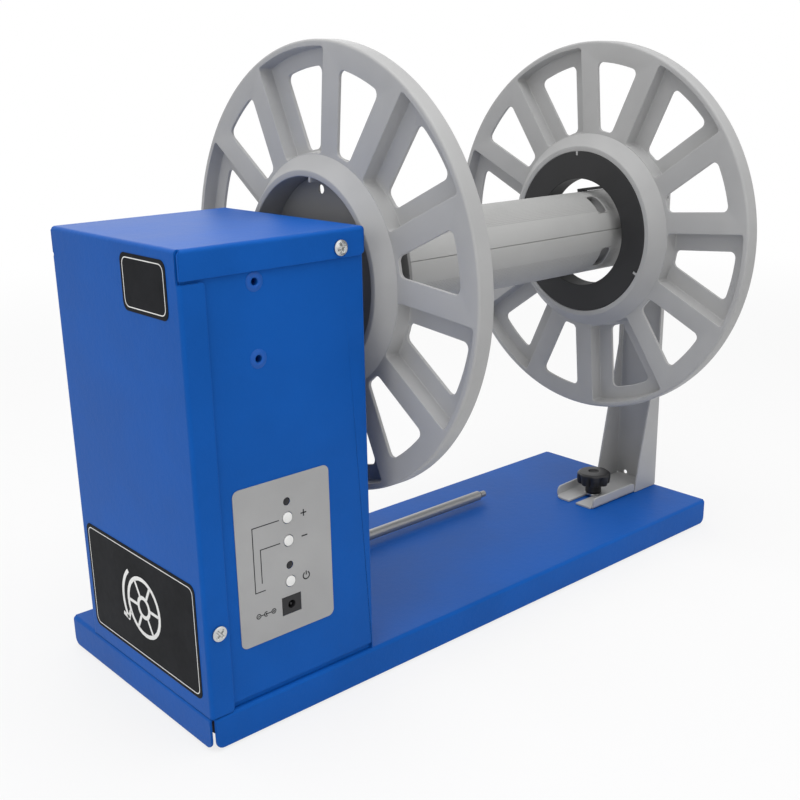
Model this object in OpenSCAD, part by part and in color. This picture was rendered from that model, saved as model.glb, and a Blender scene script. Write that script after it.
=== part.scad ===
// Label rewinder: a motor housing drives a reel of two spoked flanges on a core chuck,
// and a clamped upright carries the far end of the shaft.
// X runs along the reel axis from the housing to the upright, Y runs to the back, Z runs up.
// The origin is on the floor, under the reel axis and the middle of the base.

/* [Base] */
// Length of the base pan
base_l = 606; // [560:1:700]
// Depth of the base pan behind the housing
base_ledge = 40; // [20:1:80]
// Height of the base pan
base_h = 25; // [20:0.5:35]
// Thickness of the base sheet
base_t = 2; // [1.5:0.1:3]
// Distance of the lips' ends from each corner of the pan
pan_slot = 3; // [2:0.5:6]
// Radius of the lower corners of the lips
lip_corner_r = 6; // [2:0.5:9]
// Space between the lips and the floor
foot_drop = 2; // [1:0.5:6]
// Radius of each rubber foot
foot_r = 10; // [6:0.5:14]
// Distance of the feet from the edges of the pan
foot_inset = 24; // [18:1:32]

/* [Housing] */
// Length of the housing along the reel axis
house_l = 153; // [148:1:170]
// Depth of the housing
house_w = 179; // [172:1:190]
// Height of the housing above the reel axis
house_rise = 48.2; // [44:0.1:70]
// Thickness of the housing sheet
sheet = 2; // [1.5:0.1:2.5]
// Gap between the cover and the chassis walls under it
skin_gap = 0.2; // [0.1:0.05:0.5]
// Inset of the end wall, which leaves room for its labels
skin_inset = 0.5; // [0.5:0.1:1]
// Height of the lips round the lid
lip_h = 20; // [16:0.5:26]
// Width of the side wraps beside the end wall
wrap_w = 19; // [16:0.5:24]
// Gap between the side walls and the base
wall_lift = 4.75; // [3:0.25:8]
// Width of the relief slot between two lips of the lid
relief_w = 1.5; // [1:0.1:3]
// Radius of the screw heads that hold the cover
cover_head_r = 5.6; // [4:0.1:6]
// Height of the screw heads that hold the cover
cover_head_h = 2.4; // [1.5:0.1:3]
// Radius of the cover screws
cover_screw_r = 2; // [1.5:0.1:2.5]
// Length of the cover screws behind their heads
cover_screw_l = 10; // [8:0.5:14]

/* [Reel] */
// Height of the reel axis above the base
axis_h = 281.8; // [275:0.5:300]
// Radius of the flanges
flange_r = 175; // [165:1:180]
// Thickness of the flange between its two faces
flange_t = 15; // [12:0.5:18]
// Thickness of the flange's plates and step walls
plate_t = 3; // [2:0.25:4]
// Radius of the bore in the flange
hub_r = 76.2; // [74:0.1:78]
// Outer radius of the raised hub lip
hub_lip_r = 81; // [80:0.5:83]
// Radius at the foot of the conical hub shoulder
shoulder_r = 92; // [89:0.5:94]
// Height of the hub over the face of the flange
boss_h = 12.2; // [8:0.2:13]
// Width of the rim in the recessed fields
rim_w = 5; // [4:0.5:7]
// Inner radius of the windows
window_in_r = 95.5; // [95:0.5:100]
// Width of the flange outside its windows
window_rim = 18.5; // [16:0.5:26]
// Corner radius of the windows
window_corner_r = 5; // [2:0.5:6]
// Width of the spokes
spoke_w = 35.5; // [30:0.5:38]
// Room between the outer flange and the upright's end of the base
end_room = 84.9; // [78:0.1:110]
// Gap between the housing and the hub of the inner flange
hub_gap = 13.3; // [10:0.1:16]
// Height of the key nibs in the flange bore
nib_h = 3.8; // [2:0.2:5]
// Width of the key nibs
nib_w = 2.5; // [2:0.1:4]

/* [Chuck] */
// Radius of the chuck tube, which fits a 76.2 mm label core
tube_r = 38.1; // [37:0.1:38.5]
// Wall of the two half shells
shell_t = 3; // [2.5:0.25:3.5]
// Wall of the core tube under the shells
core_t = 4; // [3:0.5:5]
// Gap along each seam between the shells
seam_w = 0.4; // [0.2:0.1:0.8]
// Length of the adapter ring
ring_w = 21; // [18:0.5:24]
// Bore radius of the adapter ring, which fits a 101.6 mm label core
ring_in_r = 50.8; // [49:0.1:52]
// How far the chuck tube runs past the adapter ring
tube_over = 26; // [20:1:32]
// Width of the grip slots along the tube
grip_w = 13; // [11:0.5:14]
// Outward travel of the grips
grip_travel = 1.5; // [1:0.1:2]
// Radius of the shaft
shaft_r = 6; // [5:0.25:7]
// Radial clearance of shafts and pins in their bushings
run_gap = 0.05; // [0.02:0.01:0.08]
// Radial clearance of pieces that slide into one another
slide_gap = 0.3; // [0.2:0.05:0.5]

/* [Drive] */
// Radius of the motor
motor_r = 28; // [24:1:30]
// Length of the motor
motor_l = 48; // [40:1:49]
// Radius of the gearbox
gearbox_r = 30; // [26:1:32]
// Length of the gearbox
gearbox_l = 34; // [28:1:36]
// Radius of the jaw coupling
coupling_r = 12.5; // [11:0.5:16]
// Outer radius of the ball bearings
bearing_r = 14; // [13:0.5:16]
// Width of the ball bearings
bearing_w = 8; // [7:0.5:9]

/* [Dancer arm] */
// Distance of the arm's pivot from the reel axis, towards the front
pivot_front = 25; // [15:1:35]
// Height of the arm's pivot above the base
pivot_h = 50; // [45:1:60]
// Distance of the rod from the reel axis, towards the back
rod_back = 67.5; // [60:0.5:75]
// Height of the rod above the base
rod_h = 9; // [9:0.5:16]
// Radius of the dancer rod
rod_r = 5; // [4:0.5:6]
// Distance of the rod's end from the hub of the outer flange
rod_short = 67; // [40:1:120]
// Thickness of the arm
arm_t = 4; // [3:0.25:5]

/* [Upright] */
// Width of the upright
upright_w = 52.4; // [46:0.2:60]
// Height of the upright above the reel axis
upright_rise = 43.2; // [30:0.1:60]
// Thickness of the upright's sheet
upright_t = 2; // [1.5:0.1:2.5]
// Length of the foot along the base
foot_l = 109; // [104:1:120]
// Depth of the side flanges at the foot
side_deep = 38; // [30:1:44]
// Depth of the side flanges along the post
side_slim = 7; // [5:0.5:10]
// Depth of the side flanges at the head
side_head = 16; // [10:0.5:20]
// Width of the fork slot in the foot
fork_w = 9; // [8:0.1:11]
// Height of the foot's side lips
foot_lip_h = 11; // [8:0.5:14]

/* [Clamp] */
// Distance of the clamp stud from the upright's end of the base
stud_in = 75; // [70:1:84]
// Radius of the clamp stud
stud_r = 3; // [2.5:0.1:4]
// Radius of the knob's lobes from its axis
knob_r = 17.5; // [13:0.5:20]
// Height of the knob's head
knob_h = 13; // [9:0.5:16]
// Radius of the knob's neck
neck_r = 8.5; // [6:0.5:10]
// Height of the knob's neck
neck_h = 10; // [8:0.5:14]
// Thickness of the washer under the knob
washer_t = 1.6; // [1.2:0.1:2.5]

/* [Control panel] */
// Width of the control panel plate
panel_w = 82.4; // [76:0.2:90]
// Height of the control panel plate
panel_h = 120; // [112:0.5:140]
// Height of the plate's lower edge above the base
panel_low = 43; // [36:0.5:60]
// Distance of the plate from the end of the base
panel_in = 30; // [26:0.5:40]
// Thickness of the plate
panel_t = 0.6; // [0.4:0.1:1.5]
// Radius of the push buttons
button_r = 4; // [3:0.1:4.5]
// Gap round each push button
button_gap = 0.5; // [0.3:0.05:0.8]
// Travel of the push buttons
button_travel = 0.8; // [0.5:0.1:1.2]
// Radius of the indicator lenses
led_r = 3; // [2:0.1:3.5]

/* [Hidden] */

// Overrun of every cut
eps = 1;
// Facets of round solids
fn = 64;
// Play between two flat faces that pass each other
face_gap = 0.3;

// Places of the base
base_x = -base_l / 2;
base_y = -house_w / 2;
base_w = house_w + base_ledge;
base_z = foot_drop + base_h;
axis_z = base_z + axis_h;
house_h = axis_h + house_rise;
upright_h = axis_h + upright_rise;

// Places of the housing
cover_x = base_x + skin_inset;
wall_x = base_x + house_l;
house_y = house_w / 2;
house_top = base_z + house_h;
chassis_x = cover_x + sheet + skin_gap;
chassis_end = wall_x - sheet - skin_gap;
chassis_y = house_y - sheet - skin_gap;
chassis_top = house_top - sheet - skin_gap;
inner_x = chassis_end - sheet;
inner_y = chassis_y - sheet;
// Width of the chassis flange that is screwed to the base
chassis_flange = 22;
// Upper and lower cover screws: from the wall and down from the top, and from the end and up from the base
upper_screw_in = 24.1;
upper_screw_drop = 12.7;
upper_screw = [house_l - upper_screw_in, house_h - upper_screw_drop];
lower_screw = [11.1, 64.7];
// Rivets of the motor bracket: from the end of the base, and over and under the reel axis
rivet_in = 58;
rivet_over = 21.2;
rivet_under = 30.8;
upper_rivet = [rivet_in, axis_h + rivet_over];
lower_rivet = [rivet_in, axis_h - rivet_under];
rivet_head_r = 7;
rivet_head_h = 1;
rivet_r = 3.6;
rivet_bore_r = 2.6;
rivet_l = 8;
// Screws that hold the chassis to the base
chassis_screw_r = 2;
chassis_head_r = 4;
chassis_head_h = 2.5;
chassis_screw_l = 8;
chassis_screw_ys = [-62, 0, 62];

// Places of the reel
hub_x = wall_x + hub_gap;
face_x = hub_x + boss_h;
back_x = face_x + flange_t;
outer_back_x = base_l / 2 - end_room;
outer_hub_x = outer_back_x - boss_h - flange_t;
window_out_r = flange_r - window_rim;
// Wall of the flange's hub behind the shoulder
hub_wall = 4.8;
// Flat land between the hub shoulder and the recessed fields
shoulder_land = 0.8;
// Width of the rim in the fields that are flush with the face
flush_rim_w = 4;
// Chamfer of the flange's rim
rim_chamfer = 2;
// Windows round each flange, every second one in a recessed field
windows = 12;
field = 360 / windows;
// Turn of each flange about the shaft
inner_turn = 5.4;
outer_turn = -4.35;
nibs = 3;

// Hub plate in the inner flange
fit_gap = 0.1;
hub_recess = 23.3;
plate_x = hub_x + hub_recess;
plate_rim_t = 3;
plate_rim_r = 89;
core_x = back_x + plate_rim_t;
hub_screw_ring = 84;
hub_screws_n = 6;
hub_screw_turn = 1.5 * field;
hub_screw_r = 2;
hub_screw_l = 10;
hub_head_r = 3.5;
hub_head_h = 2;
sight_hole_r = 3.5;
sight_hole_ring = 65;
sight_hole_turn = -7.7;
// Wide pocket behind the sight hole, and the wall that it leaves
sight_pocket_r = 9.5;
sight_wall = 1.5;
hub_boss_r = 16;
hub_boss_l = 12;

// Chuck
tube_end_gap = 0.5;
plug_end = outer_hub_x + ring_w - tube_end_gap;
chuck_end = plug_end + tube_over;
shell_in_r = tube_r - shell_t;
core_r = shell_in_r - fit_gap;
core_in_r = core_r - core_t;
seam_turn = 81;
// Grips: their turns from the top, half their span and their depth under the tube
grip_turns = [39, -57, -141, 123];
grip_span = 17;
grip_lead = 10;
grip_x = outer_hub_x - grip_lead;
// Turn of free play at the ends of the slots
slot_play = 0.6;
grip_sink = 0.5;
grip_pad_t = 3;
grip_stem_w = 6;
grip_stem_l = 8;
grip_foot_r = 21;
// Cam under the grips, and its lobes that come under the grips at the end of its turn
cam_turn = 30;
cam_r = 19.7;
cam_bore_r = shaft_r + run_gap;
cam_lobe_r = 3;
cam_lobe_ring = 18.9;
cam_side = 2;
cam_x = grip_x - cam_side;
// Lock lever on the cam: turn from the top, thickness, height over the tube
lever_turn = -10;
lever_w = 9;
lever_rise = 3;
lever_in = 9.6;
lever_arm_x = outer_hub_x + lever_in;
lever_arm_t = 4;
lever_half = asin(lever_w / 2 / core_in_r);
plug_gap = 1;
plug_x = lever_arm_x + lever_arm_t + plug_gap;
clip_t = 1.2;
clip_w = 3;

// Carrier of the outer flange
carrier_t = 6;
carrier_l = 139;
carrier_w = 22;
carrier_hub_r = 13;
carrier_hub_l = 16;
carrier_screw_ring = 60;
carrier_screw_r = 2;
carrier_head_r = 3.5;
carrier_head_h = 2;
carrier_screw_l = 10;
drive_pin_r = 2.5;
drive_pin_ring = 22;
drive_pin_l = 4;

// Drive train along the axis, worked out from the chassis wall to the left
block_l = 24;
block_w = 56;
block_x = inner_x - block_l;
shaft_clip_x = block_x - clip_t - run_gap;
block_step = 2;
block_screw_pitch = 42;
block_screw_r = 2;
block_head_r = 3.5;
block_head_h = 2.2;
block_screw_l = 14;
coupling_gap = 2.6;
coupling_hub_l = 9;
jaw_l = 7;
coupling_x = block_x - coupling_gap - 2 * coupling_hub_l - jaw_l;
jaws = 3;
jaw_span = 40;
spider_span = 16;
jaw_in_r = 5.5;
spider_bore_r = 2;
shaft_inset = 1;
shaft_x = coupling_x + coupling_hub_l + jaw_l + shaft_inset;
out_shaft_r = 4;
bracket_t = 3;
lid_room = 6.2;
bracket_h = 2 * (house_rise - lid_room);
bracket_arm_l = 60;
bracket_gap = 0.2;
bracket_lead = 7.5;
bracket_x = coupling_x - bracket_lead;
gear_x = bracket_x - gearbox_l;
motor_x = gear_x - motor_l;
pilot_r = 11;
pilot_l = 4.5;
shaft_share = 0.5;
motor_screw_ring = 22;
motor_screws_n = 4;
motor_screw_r = 2;
motor_screw_l = 10;
motor_head_r = 3.5;
motor_head_h = 2.2;
terminal_w = 3;
terminal_l = 4;

// Upright
upright_inset = 0.4;
upright_x = base_l / 2 - upright_inset;
foot_x = base_l / 2 - foot_l;
foot_gap = 0.1;
foot_z = base_z + foot_gap;
side_start = base_l / 2 - side_deep;
// Lengths down from the upright's top: of its head, to the end of the slim sides and to the end of their taper
head_run = 63;
slim_run = 70;
taper_run = 175;
slim_from = upright_h - taper_run;
slim_to = upright_h - slim_run;
head_from = upright_h - head_run;
foot_lip_in = 2.5;
foot_lip_gap = 0.8;
foot_lip_r = 4;
foot_near_r = 4;
foot_far_r = 12;
web_hole_r = 2.5;
web_hole = [13.5, 4];
head_hole_r = 2.25;
head_hole_in = 7.5;
head_hole_drop = 17;
head_hole = [head_hole_in, upright_h - head_hole_drop];
bushing_r = 9;
bushing_rim_r = 13;
bushing_rim_t = 3;
bushing_l = 8;
shaft_inset_end = 1.5;
shaft_end = upright_x - shaft_inset_end;

// Clamp
stud_x = base_l / 2 - stud_in;
thread_gap = 0.1;
washer_r = 9;
washer_z = foot_z + upright_t + face_gap;
neck_z = washer_z + washer_t + face_gap;
head_z = neck_z + neck_h;
knob_lobes = 8;
knob_lobe_r = 4.6;
knob_core_r = 14.8;
knob_recess_r = 4.8;
knob_recess_d = 2;
nut_r = 5.8;
nut_t = 6;
stud_low = 9;

// Dancer arm
pivot_y = -pivot_front;
pivot_z = base_z + pivot_h;
rod_z = base_z + rod_h;
pivot_r = 4;
pivot_bush_r = 7;
pivot_rim_r = 10;
pivot_rim_t = 3.6;
pivot_bush_l = 9;
arm_x = chassis_end + pivot_rim_t + face_gap;
arm_hub_r = 10;
arm_tip_r = 9;
arm_w = 15;
rod_tip_r = 3.2;
rod_tip_l = 8;
// Groove between the rod and its tip
rod_groove_r = 2.3;
rod_groove_l = 1.8;
rod_chamfer = 0.8;
rod_spigot_r = 3;
stop_lead = 10;
stop_x = arm_x + arm_t + stop_lead;
stop_l = 14;
stop_w = 12;
sensor_r = 10;
sensor_l = 9;
sensor_tab_t = 2;
pivot_in = 20;
pivot_x = inner_x - pivot_in;

// Control panel
panel_x = base_x + panel_in;
panel_z = base_z + panel_low;
panel_corner_r = 5;
column_share = 0.54;
column_x = panel_x + panel_w * column_share;
// Heights of the buttons and lenses above the plate's lower edge
button_zs = [89.1, 71.5, 39.9];
led_zs = [101.4, 52.5];
inlet_z = 21.5;
inlet_w = 16.4;
inlet_h = 13.7;
inlet_d = 14;
inlet_socket_r = 3.1;
inlet_socket_d = 9.5;
inlet_pin_r = 1;
button_proud = 0.8;
board_t = 1.6;
board_gap = 10;
board_w = 74;
board_h = 112;
board_y = -inner_y + board_gap;
board_x = column_x - board_w / 2;
board_low = 4;
board_z = panel_z + board_low;
spacer_r = 3;
spacer_inset = 5;
switch_w = 7;
switch_h = 4;
switch_bore_r = 2.1;
stem_r = 1.8;
stem_in = 1.5;
// Cross recess of the screws, as shares of the head
recess_w_share = 0.28;
recess_l_share = 1.2;
recess_z_share = 0.4;

// Labels on the end wall
label_t = 0.4;
label_corner_r = 6;
// Lower corner and size of each label: back from the front edge and up from the base
label_upper_size = [59, 39.3];
label_upper_drop = 7.7;
label_upper_at = [14.5, house_h - label_upper_drop - label_upper_size[1]];
label_lower_at = [10.3, 11.5];
label_lower_size = [160, 88.5];

// Colours
blue = [0.11, 0.34, 0.7];
grey = [0.6, 0.6, 0.61];
tube_grey = [0.66, 0.66, 0.67];
pale = [0.72, 0.72, 0.72];
black = [0.12, 0.12, 0.13];
steel = [0.76, 0.76, 0.78];
brass = [0.75, 0.62, 0.32];
green = [0.1, 0.35, 0.2];
cream = [0.88, 0.88, 0.86];

// Ring or rod along X from x0 to x1
module bar_x(x0, x1, r, bore = 0) {
    translate([x0, 0, 0]) rotate([0, 90, 0]) difference() {
        cylinder(h = x1 - x0, r = r, $fn = fn);
        if (bore > 0) translate([0, 0, -eps]) cylinder(h = x1 - x0 + 2 * eps, r = bore, $fn = fn);
    }
}

// Plane figure in Y and Z, extruded along X from x0 to x1
module sheet_x(x0, x1) translate([x0, 0, 0]) rotate([90, 0, 90]) linear_extrude(x1 - x0) children();

// Plane figure in X and Z, extruded along Y from y0 to y1
module sheet_y(y0, y1) translate([0, y1, 0]) rotate([90, 0, 0]) linear_extrude(y1 - y0) children();

// Rod along Y from y0 to y1 at the given X and Z
module bar_y(x, z, y0, y1, r) translate([x, y1, z]) rotate([90, 0, 0]) cylinder(h = y1 - y0, r = r, $fn = fn);

// Children on the reel axis
module on_axis() translate([0, 0, axis_z]) children();

// Children once for each turn about the X axis
module ring_of(turns) for (turn = turns) rotate([turn, 0, 0]) children();

// Plane ring
module annulus(r, bore) difference() {
    circle(r = r, $fn = fn * 2);
    circle(r = bore, $fn = fn * 2);
}

// Plane wedge about the upward axis, with its two sides moved inwards by inset
module wedge(half, inset, reach) {
    tip = inset / sin(half);
    side = reach / cos(half);
    polygon([[0, tip], [-side * sin(half), tip + side * cos(half)], [side * sin(half), tip + side * cos(half)]]);
}

// Window between two spokes, with round corners
module window() {
    inset = spoke_w / 2;
    corner = inset + window_corner_r;
    half = field / 2;
    intersection() {
        annulus(window_out_r, window_in_r);
        wedge(half, corner, flange_r);
    }
    intersection() {
        annulus(window_out_r - window_corner_r, window_in_r + window_corner_r);
        wedge(half, inset, flange_r);
    }
    for (ring = [window_in_r + window_corner_r, window_out_r - window_corner_r], side = [0, 1])
        mirror([side, 0]) rotate(half) translate([corner, sqrt(ring * ring - corner * corner)])
            circle(r = window_corner_r, $fn = fn);
}

// Flange with its hub front at X = 0 and one nib at the top
module flange() {
    web = boss_h + flange_t;
    difference() {
        union() {
            rotate([0, 90, 0]) rotate_extrude($fn = fn * 2) polygon([
                [hub_r, 0], [hub_lip_r, 0], [shoulder_r, boss_h], [flange_r - rim_chamfer, boss_h],
                [flange_r, boss_h + rim_chamfer], [flange_r, web - rim_chamfer],
                [flange_r - rim_chamfer, web], [hub_r, web]]);
            ring_of([for (i = [0 : nibs - 1]) i * 360 / nibs])
                translate([face_gap, -nib_w / 2, hub_r - nib_h])
                    cube([web - 2 * face_gap, nib_w, nib_h + plate_t / 2]);
        }
        for (i = [0 : 2 : windows - 1]) {
            rotate([(i + 0.5) * field, 0, 0]) sheet_x(boss_h + plate_t, web + eps) intersection() {
                annulus(flange_r - flush_rim_w, hub_r + hub_wall);
                wedge(field / 2, plate_t / 2, flange_r);
            }
            rotate([(i + 1.5) * field, 0, 0]) sheet_x(-eps, web - plate_t) intersection() {
                annulus(flange_r - rim_w, shoulder_r + shoulder_land);
                wedge(field / 2, plate_t / 2, flange_r);
            }
        }
        for (i = [0 : windows - 1]) rotate([(i + 0.5) * field, 0, 0]) sheet_x(-eps, web + eps) window();
    }
}

// Plate in Y and Z with round corners, its lower corner at the origin
module round_plate(size, r) {
    translate([0, r]) square([size[0], size[1] - 2 * r]);
    translate([r, 0]) square([size[0] - 2 * r, size[1]]);
    for (x = [r, size[0] - r], y = [r, size[1] - r]) translate([x, y]) circle(r = r, $fn = fn);
}

// Strip whose two lower corners are round
module lip(length, height, r) {
    translate([0, r]) square([length, height - r]);
    translate([r, 0]) square([length - 2 * r, height]);
    for (x = [r, length - r]) translate([x, r]) circle(r = r, $fn = fn);
}

// Pan-head screw along +Z, with the underside of its head at Z = 0 and a cross recess
module pan_screw(head_r, head_h, shank_r, shank_l) {
    recess_w = head_r * recess_w_share;
    recess_l = head_r * recess_l_share;
    difference() {
        union() {
            cylinder(h = head_h, r = head_r, $fn = fn);
            translate([0, 0, -shank_l]) cylinder(h = shank_l, r = shank_r, $fn = fn);
        }
        for (turn = [0, 90]) rotate(turn) translate([-recess_l / 2, -recess_w / 2, head_h * recess_z_share])
            cube([recess_l, recess_w, head_h]);
    }
}

// Places of the housing's screws and rivets on both sides: children face outwards
module both_sides(at, y) {
    for (side = [-1, 1]) translate([base_x + at[0], side * y, base_z + at[1]]) rotate([side * -90, 0, 0]) children();
}

module base_plate() {
    color(blue) difference() {
        union() {
            translate([base_x, base_y, base_z - base_t]) cube([base_l, base_w, base_t]);
            for (y = [base_y, base_y + base_w - base_t]) translate([base_x + pan_slot, 0, foot_drop])
                sheet_y(y, y + base_t) lip(base_l - 2 * pan_slot, base_h, lip_corner_r);
            for (x = [base_x, base_x + base_l - base_t]) translate([0, base_y + pan_slot, foot_drop])
                sheet_x(x, x + base_t) lip(base_w - 2 * pan_slot, base_h, lip_corner_r);
        }
        translate([stud_x, 0, base_z - base_t - eps])
            cylinder(h = base_t + 2 * eps, r = stud_r + thread_gap, $fn = fn);
        for (y = chassis_screw_ys) translate([inner_x - chassis_flange / 2, y, base_z - base_t - eps])
            cylinder(h = base_t + 2 * eps, r = chassis_screw_r, $fn = fn);
    }
}

module rubber_feet() {
    for (x = [base_x + foot_inset, -base_x - foot_inset], y = [base_y + foot_inset, base_y + base_w - foot_inset])
        color(black) translate([x, y, 0]) cylinder(h = base_z - base_t, r = foot_r, $fn = fn);
}

module chassis() {
    wall_l = chassis_end - chassis_x;
    wall_z = base_z + wall_lift;
    color(blue) difference() {
        union() {
            for (y = [-chassis_y, inner_y]) translate([chassis_x, y, wall_z])
                cube([wall_l, sheet, chassis_top - wall_z]);
            translate([inner_x, -chassis_y, base_z]) cube([sheet, 2 * chassis_y, chassis_top - base_z]);
            translate([inner_x - chassis_flange, -inner_y, base_z]) cube([chassis_flange + eps, 2 * inner_y, sheet]);
        }
        both_sides(upper_screw, chassis_y + eps) screw_hole(cover_screw_r);
        both_sides(lower_screw, chassis_y + eps) screw_hole(cover_screw_r);
        both_sides(upper_rivet, chassis_y + eps) screw_hole(rivet_r);
        both_sides(lower_rivet, chassis_y + eps) screw_hole(rivet_r);
        for (z = button_zs) bar_y(column_x, panel_z + z, -chassis_y - eps, -inner_y + eps, button_r + button_gap);
        for (z = led_zs) bar_y(column_x, panel_z + z, -chassis_y - eps, -inner_y + eps, led_r + run_gap);
        translate([column_x - inlet_w / 2 - slide_gap, -chassis_y - eps, panel_z + inlet_z - inlet_h / 2 - slide_gap])
            cube([inlet_w + 2 * slide_gap, sheet + 2 * eps, inlet_h + 2 * slide_gap]);
        on_axis() bar_x(inner_x - eps, chassis_end + eps, bearing_r - block_step);
        on_axis() block_places() bar_x(inner_x - eps, chassis_end + eps, block_screw_r);
        translate([0, pivot_y, pivot_z]) bar_x(inner_x - eps, chassis_end + eps, pivot_bush_r);
        for (y = chassis_screw_ys) translate([inner_x - chassis_flange / 2, y, base_z - eps])
            cylinder(h = sheet + 2 * eps, r = chassis_screw_r, $fn = fn);
    }
}

// Hole through one sheet, drawn from just outside it
module screw_hole(r) translate([0, 0, -sheet - eps * 2]) cylinder(h = sheet + eps * 3, r = r, $fn = fn);

// The four corners of the bearing block's screw square
module block_places() {
    for (y = [-1, 1], z = [-1, 1]) translate([0, y * block_screw_pitch / 2, z * block_screw_pitch / 2]) children();
}

module cover() {
    length = wall_x - cover_x;
    lip_z = house_top - lip_h;
    color(blue) difference() {
        union() {
            translate([cover_x, -house_y, base_z]) cube([sheet, house_w, house_h]);
            translate([cover_x, -house_y, house_top - sheet]) cube([length, house_w, sheet]);
            for (y = [-house_y, house_y - sheet]) {
                translate([cover_x, y, base_z]) cube([wrap_w, sheet, house_h]);
                translate([cover_x, y, lip_z]) cube([length - sheet - relief_w, sheet, lip_h]);
            }
            translate([wall_x - sheet, -house_y + sheet + relief_w, lip_z])
                cube([sheet, house_w - 2 * sheet - 2 * relief_w, lip_h]);
        }
        both_sides(upper_screw, house_y + eps) screw_hole(cover_screw_r);
        both_sides(lower_screw, house_y + eps) screw_hole(cover_screw_r);
    }
}

module cover_screws() {
    for (at = [upper_screw, lower_screw]) both_sides(at, house_y)
        color(steel) pan_screw(cover_head_r, cover_head_h, cover_screw_r, cover_screw_l);
}

module chassis_screws() {
    for (y = chassis_screw_ys)
        translate([inner_x - chassis_flange / 2, y, base_z - base_t]) mirror([0, 0, 1]) color(steel)
            pan_screw(chassis_head_r, chassis_head_h, chassis_screw_r, chassis_screw_l);
}

module bracket_rivets() {
    for (at = [upper_rivet, lower_rivet]) both_sides(at, chassis_y) color(blue) difference() {
        union() {
            cylinder(h = rivet_head_h, r = rivet_head_r, $fn = fn);
            translate([0, 0, -rivet_l]) cylinder(h = rivet_l, r = rivet_r, $fn = fn);
        }
        translate([0, 0, -rivet_l - eps]) cylinder(h = rivet_l + rivet_head_h + 2 * eps, r = rivet_bore_r, $fn = fn);
    }
}

module motor_bracket() {
    reach = inner_y - bracket_gap;
    color(steel) difference() {
        on_axis() union() {
            translate([bracket_x, -reach, -bracket_h / 2]) cube([bracket_t, 2 * reach, bracket_h]);
            for (y = [-reach, reach - bracket_t])
                translate([bracket_x - bracket_arm_l, y, -bracket_h / 2])
                    cube([bracket_arm_l + bracket_t, bracket_t, bracket_h]);
        }
        for (at = [upper_rivet, lower_rivet]) both_sides(at, reach + eps)
            translate([0, 0, -bracket_t - 2 * eps]) cylinder(h = bracket_t + 4 * eps, r = rivet_r, $fn = fn);
        on_axis() bar_x(bracket_x - eps, bracket_x + bracket_t + eps, pilot_r + run_gap);
        on_axis() motor_places() bar_x(bracket_x - eps, bracket_x + bracket_t + eps, motor_screw_r);
    }
}

// Places of the gearbox's face screws
module motor_places() {
    ring_of([for (i = [0 : motor_screws_n - 1]) (i + 0.5) * 360 / motor_screws_n])
        translate([0, 0, motor_screw_ring]) children();
}

module motor_screws() {
    on_axis() motor_places() translate([bracket_x + bracket_t, 0, 0]) rotate([0, 90, 0])
        color(steel) pan_screw(motor_head_r, motor_head_h, motor_screw_r, motor_screw_l);
}

module motor() {
    color(steel) on_axis() {
        bar_x(motor_x, gear_x, motor_r);
        for (y = [-motor_r / 2, motor_r / 2])
            translate([motor_x - terminal_l / 2, y - terminal_w / 2, 0]) cube([terminal_l, terminal_w, terminal_w]);
    }
}

module gearbox() {
    color(grey) on_axis() difference() {
        union() {
            bar_x(gear_x, bracket_x, gearbox_r);
            bar_x(bracket_x - eps, bracket_x + pilot_l, pilot_r);
        }
        bar_x(bracket_x - gearbox_l * shaft_share, bracket_x + pilot_l + eps, out_shaft_r + run_gap);
        motor_places() bar_x(bracket_x - motor_screw_l, bracket_x + eps, motor_screw_r);
    }
}

module gearbox_shaft() {
    color(steel) on_axis()
        bar_x(bracket_x - gearbox_l * shaft_share + face_gap, coupling_x + coupling_hub_l, out_shaft_r);
}

// Half of the jaw coupling with its back at X = 0 and its jaws towards +X
module coupling_half(bore) difference() {
    union() {
        bar_x(0, coupling_hub_l, coupling_r);
        for (i = [0 : jaws - 1]) rotate([i * 360 / jaws, 0, 0]) sheet_x(coupling_hub_l - eps, coupling_hub_l + jaw_l)
            intersection() {
                annulus(coupling_r - run_gap, jaw_in_r);
                wedge(jaw_span / 2, run_gap, coupling_r);
            }
    }
    bar_x(-eps, coupling_hub_l + jaw_l + eps, bore);
}

module coupling_motor_half() color(steel) on_axis() translate([coupling_x, 0, 0]) coupling_half(out_shaft_r);

module coupling_shaft_half() {
    color(steel) on_axis() translate([coupling_x + 2 * coupling_hub_l + jaw_l, 0, 0])
        mirror([1, 0, 0]) rotate([180 / jaws, 0, 0]) coupling_half(shaft_r);
}

module coupling_spider() {
    x0 = coupling_x + coupling_hub_l + run_gap;
    x1 = x0 + jaw_l - 2 * run_gap;
    arms = 2 * jaws;
    color("firebrick") on_axis() difference() {
        union() {
            bar_x(x0, x1, jaw_in_r - run_gap);
            for (i = [0 : arms - 1]) rotate([(i + 0.5) * 360 / arms, 0, 0]) sheet_x(x0, x1) intersection() {
                annulus(coupling_r - run_gap, spider_bore_r);
                wedge(spider_span / 2, run_gap, coupling_r);
            }
        }
        bar_x(x0 - eps, x1 + eps, spider_bore_r);
    }
}

module bearing_block() {
    color(steel) on_axis() difference() {
        translate([block_x, -block_w / 2, -block_w / 2]) cube([block_l, block_w, block_w]);
        bar_x(block_x - eps, block_x + bearing_w, bearing_r);
        bar_x(inner_x - bearing_w, inner_x + eps, bearing_r);
        bar_x(block_x, inner_x, bearing_r - block_step);
        block_places() bar_x(inner_x - block_screw_l, inner_x + eps, block_screw_r);
    }
}

module block_screws() {
    on_axis() block_places() translate([chassis_end, 0, 0]) rotate([0, 90, 0])
        color(steel) pan_screw(block_head_r, block_head_h, block_screw_r, block_screw_l);
}

module shaft_bearings() {
    for (x = [block_x, inner_x - bearing_w]) color(steel) on_axis()
        bar_x(x, x + bearing_w, bearing_r, shaft_r + run_gap);
}

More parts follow.
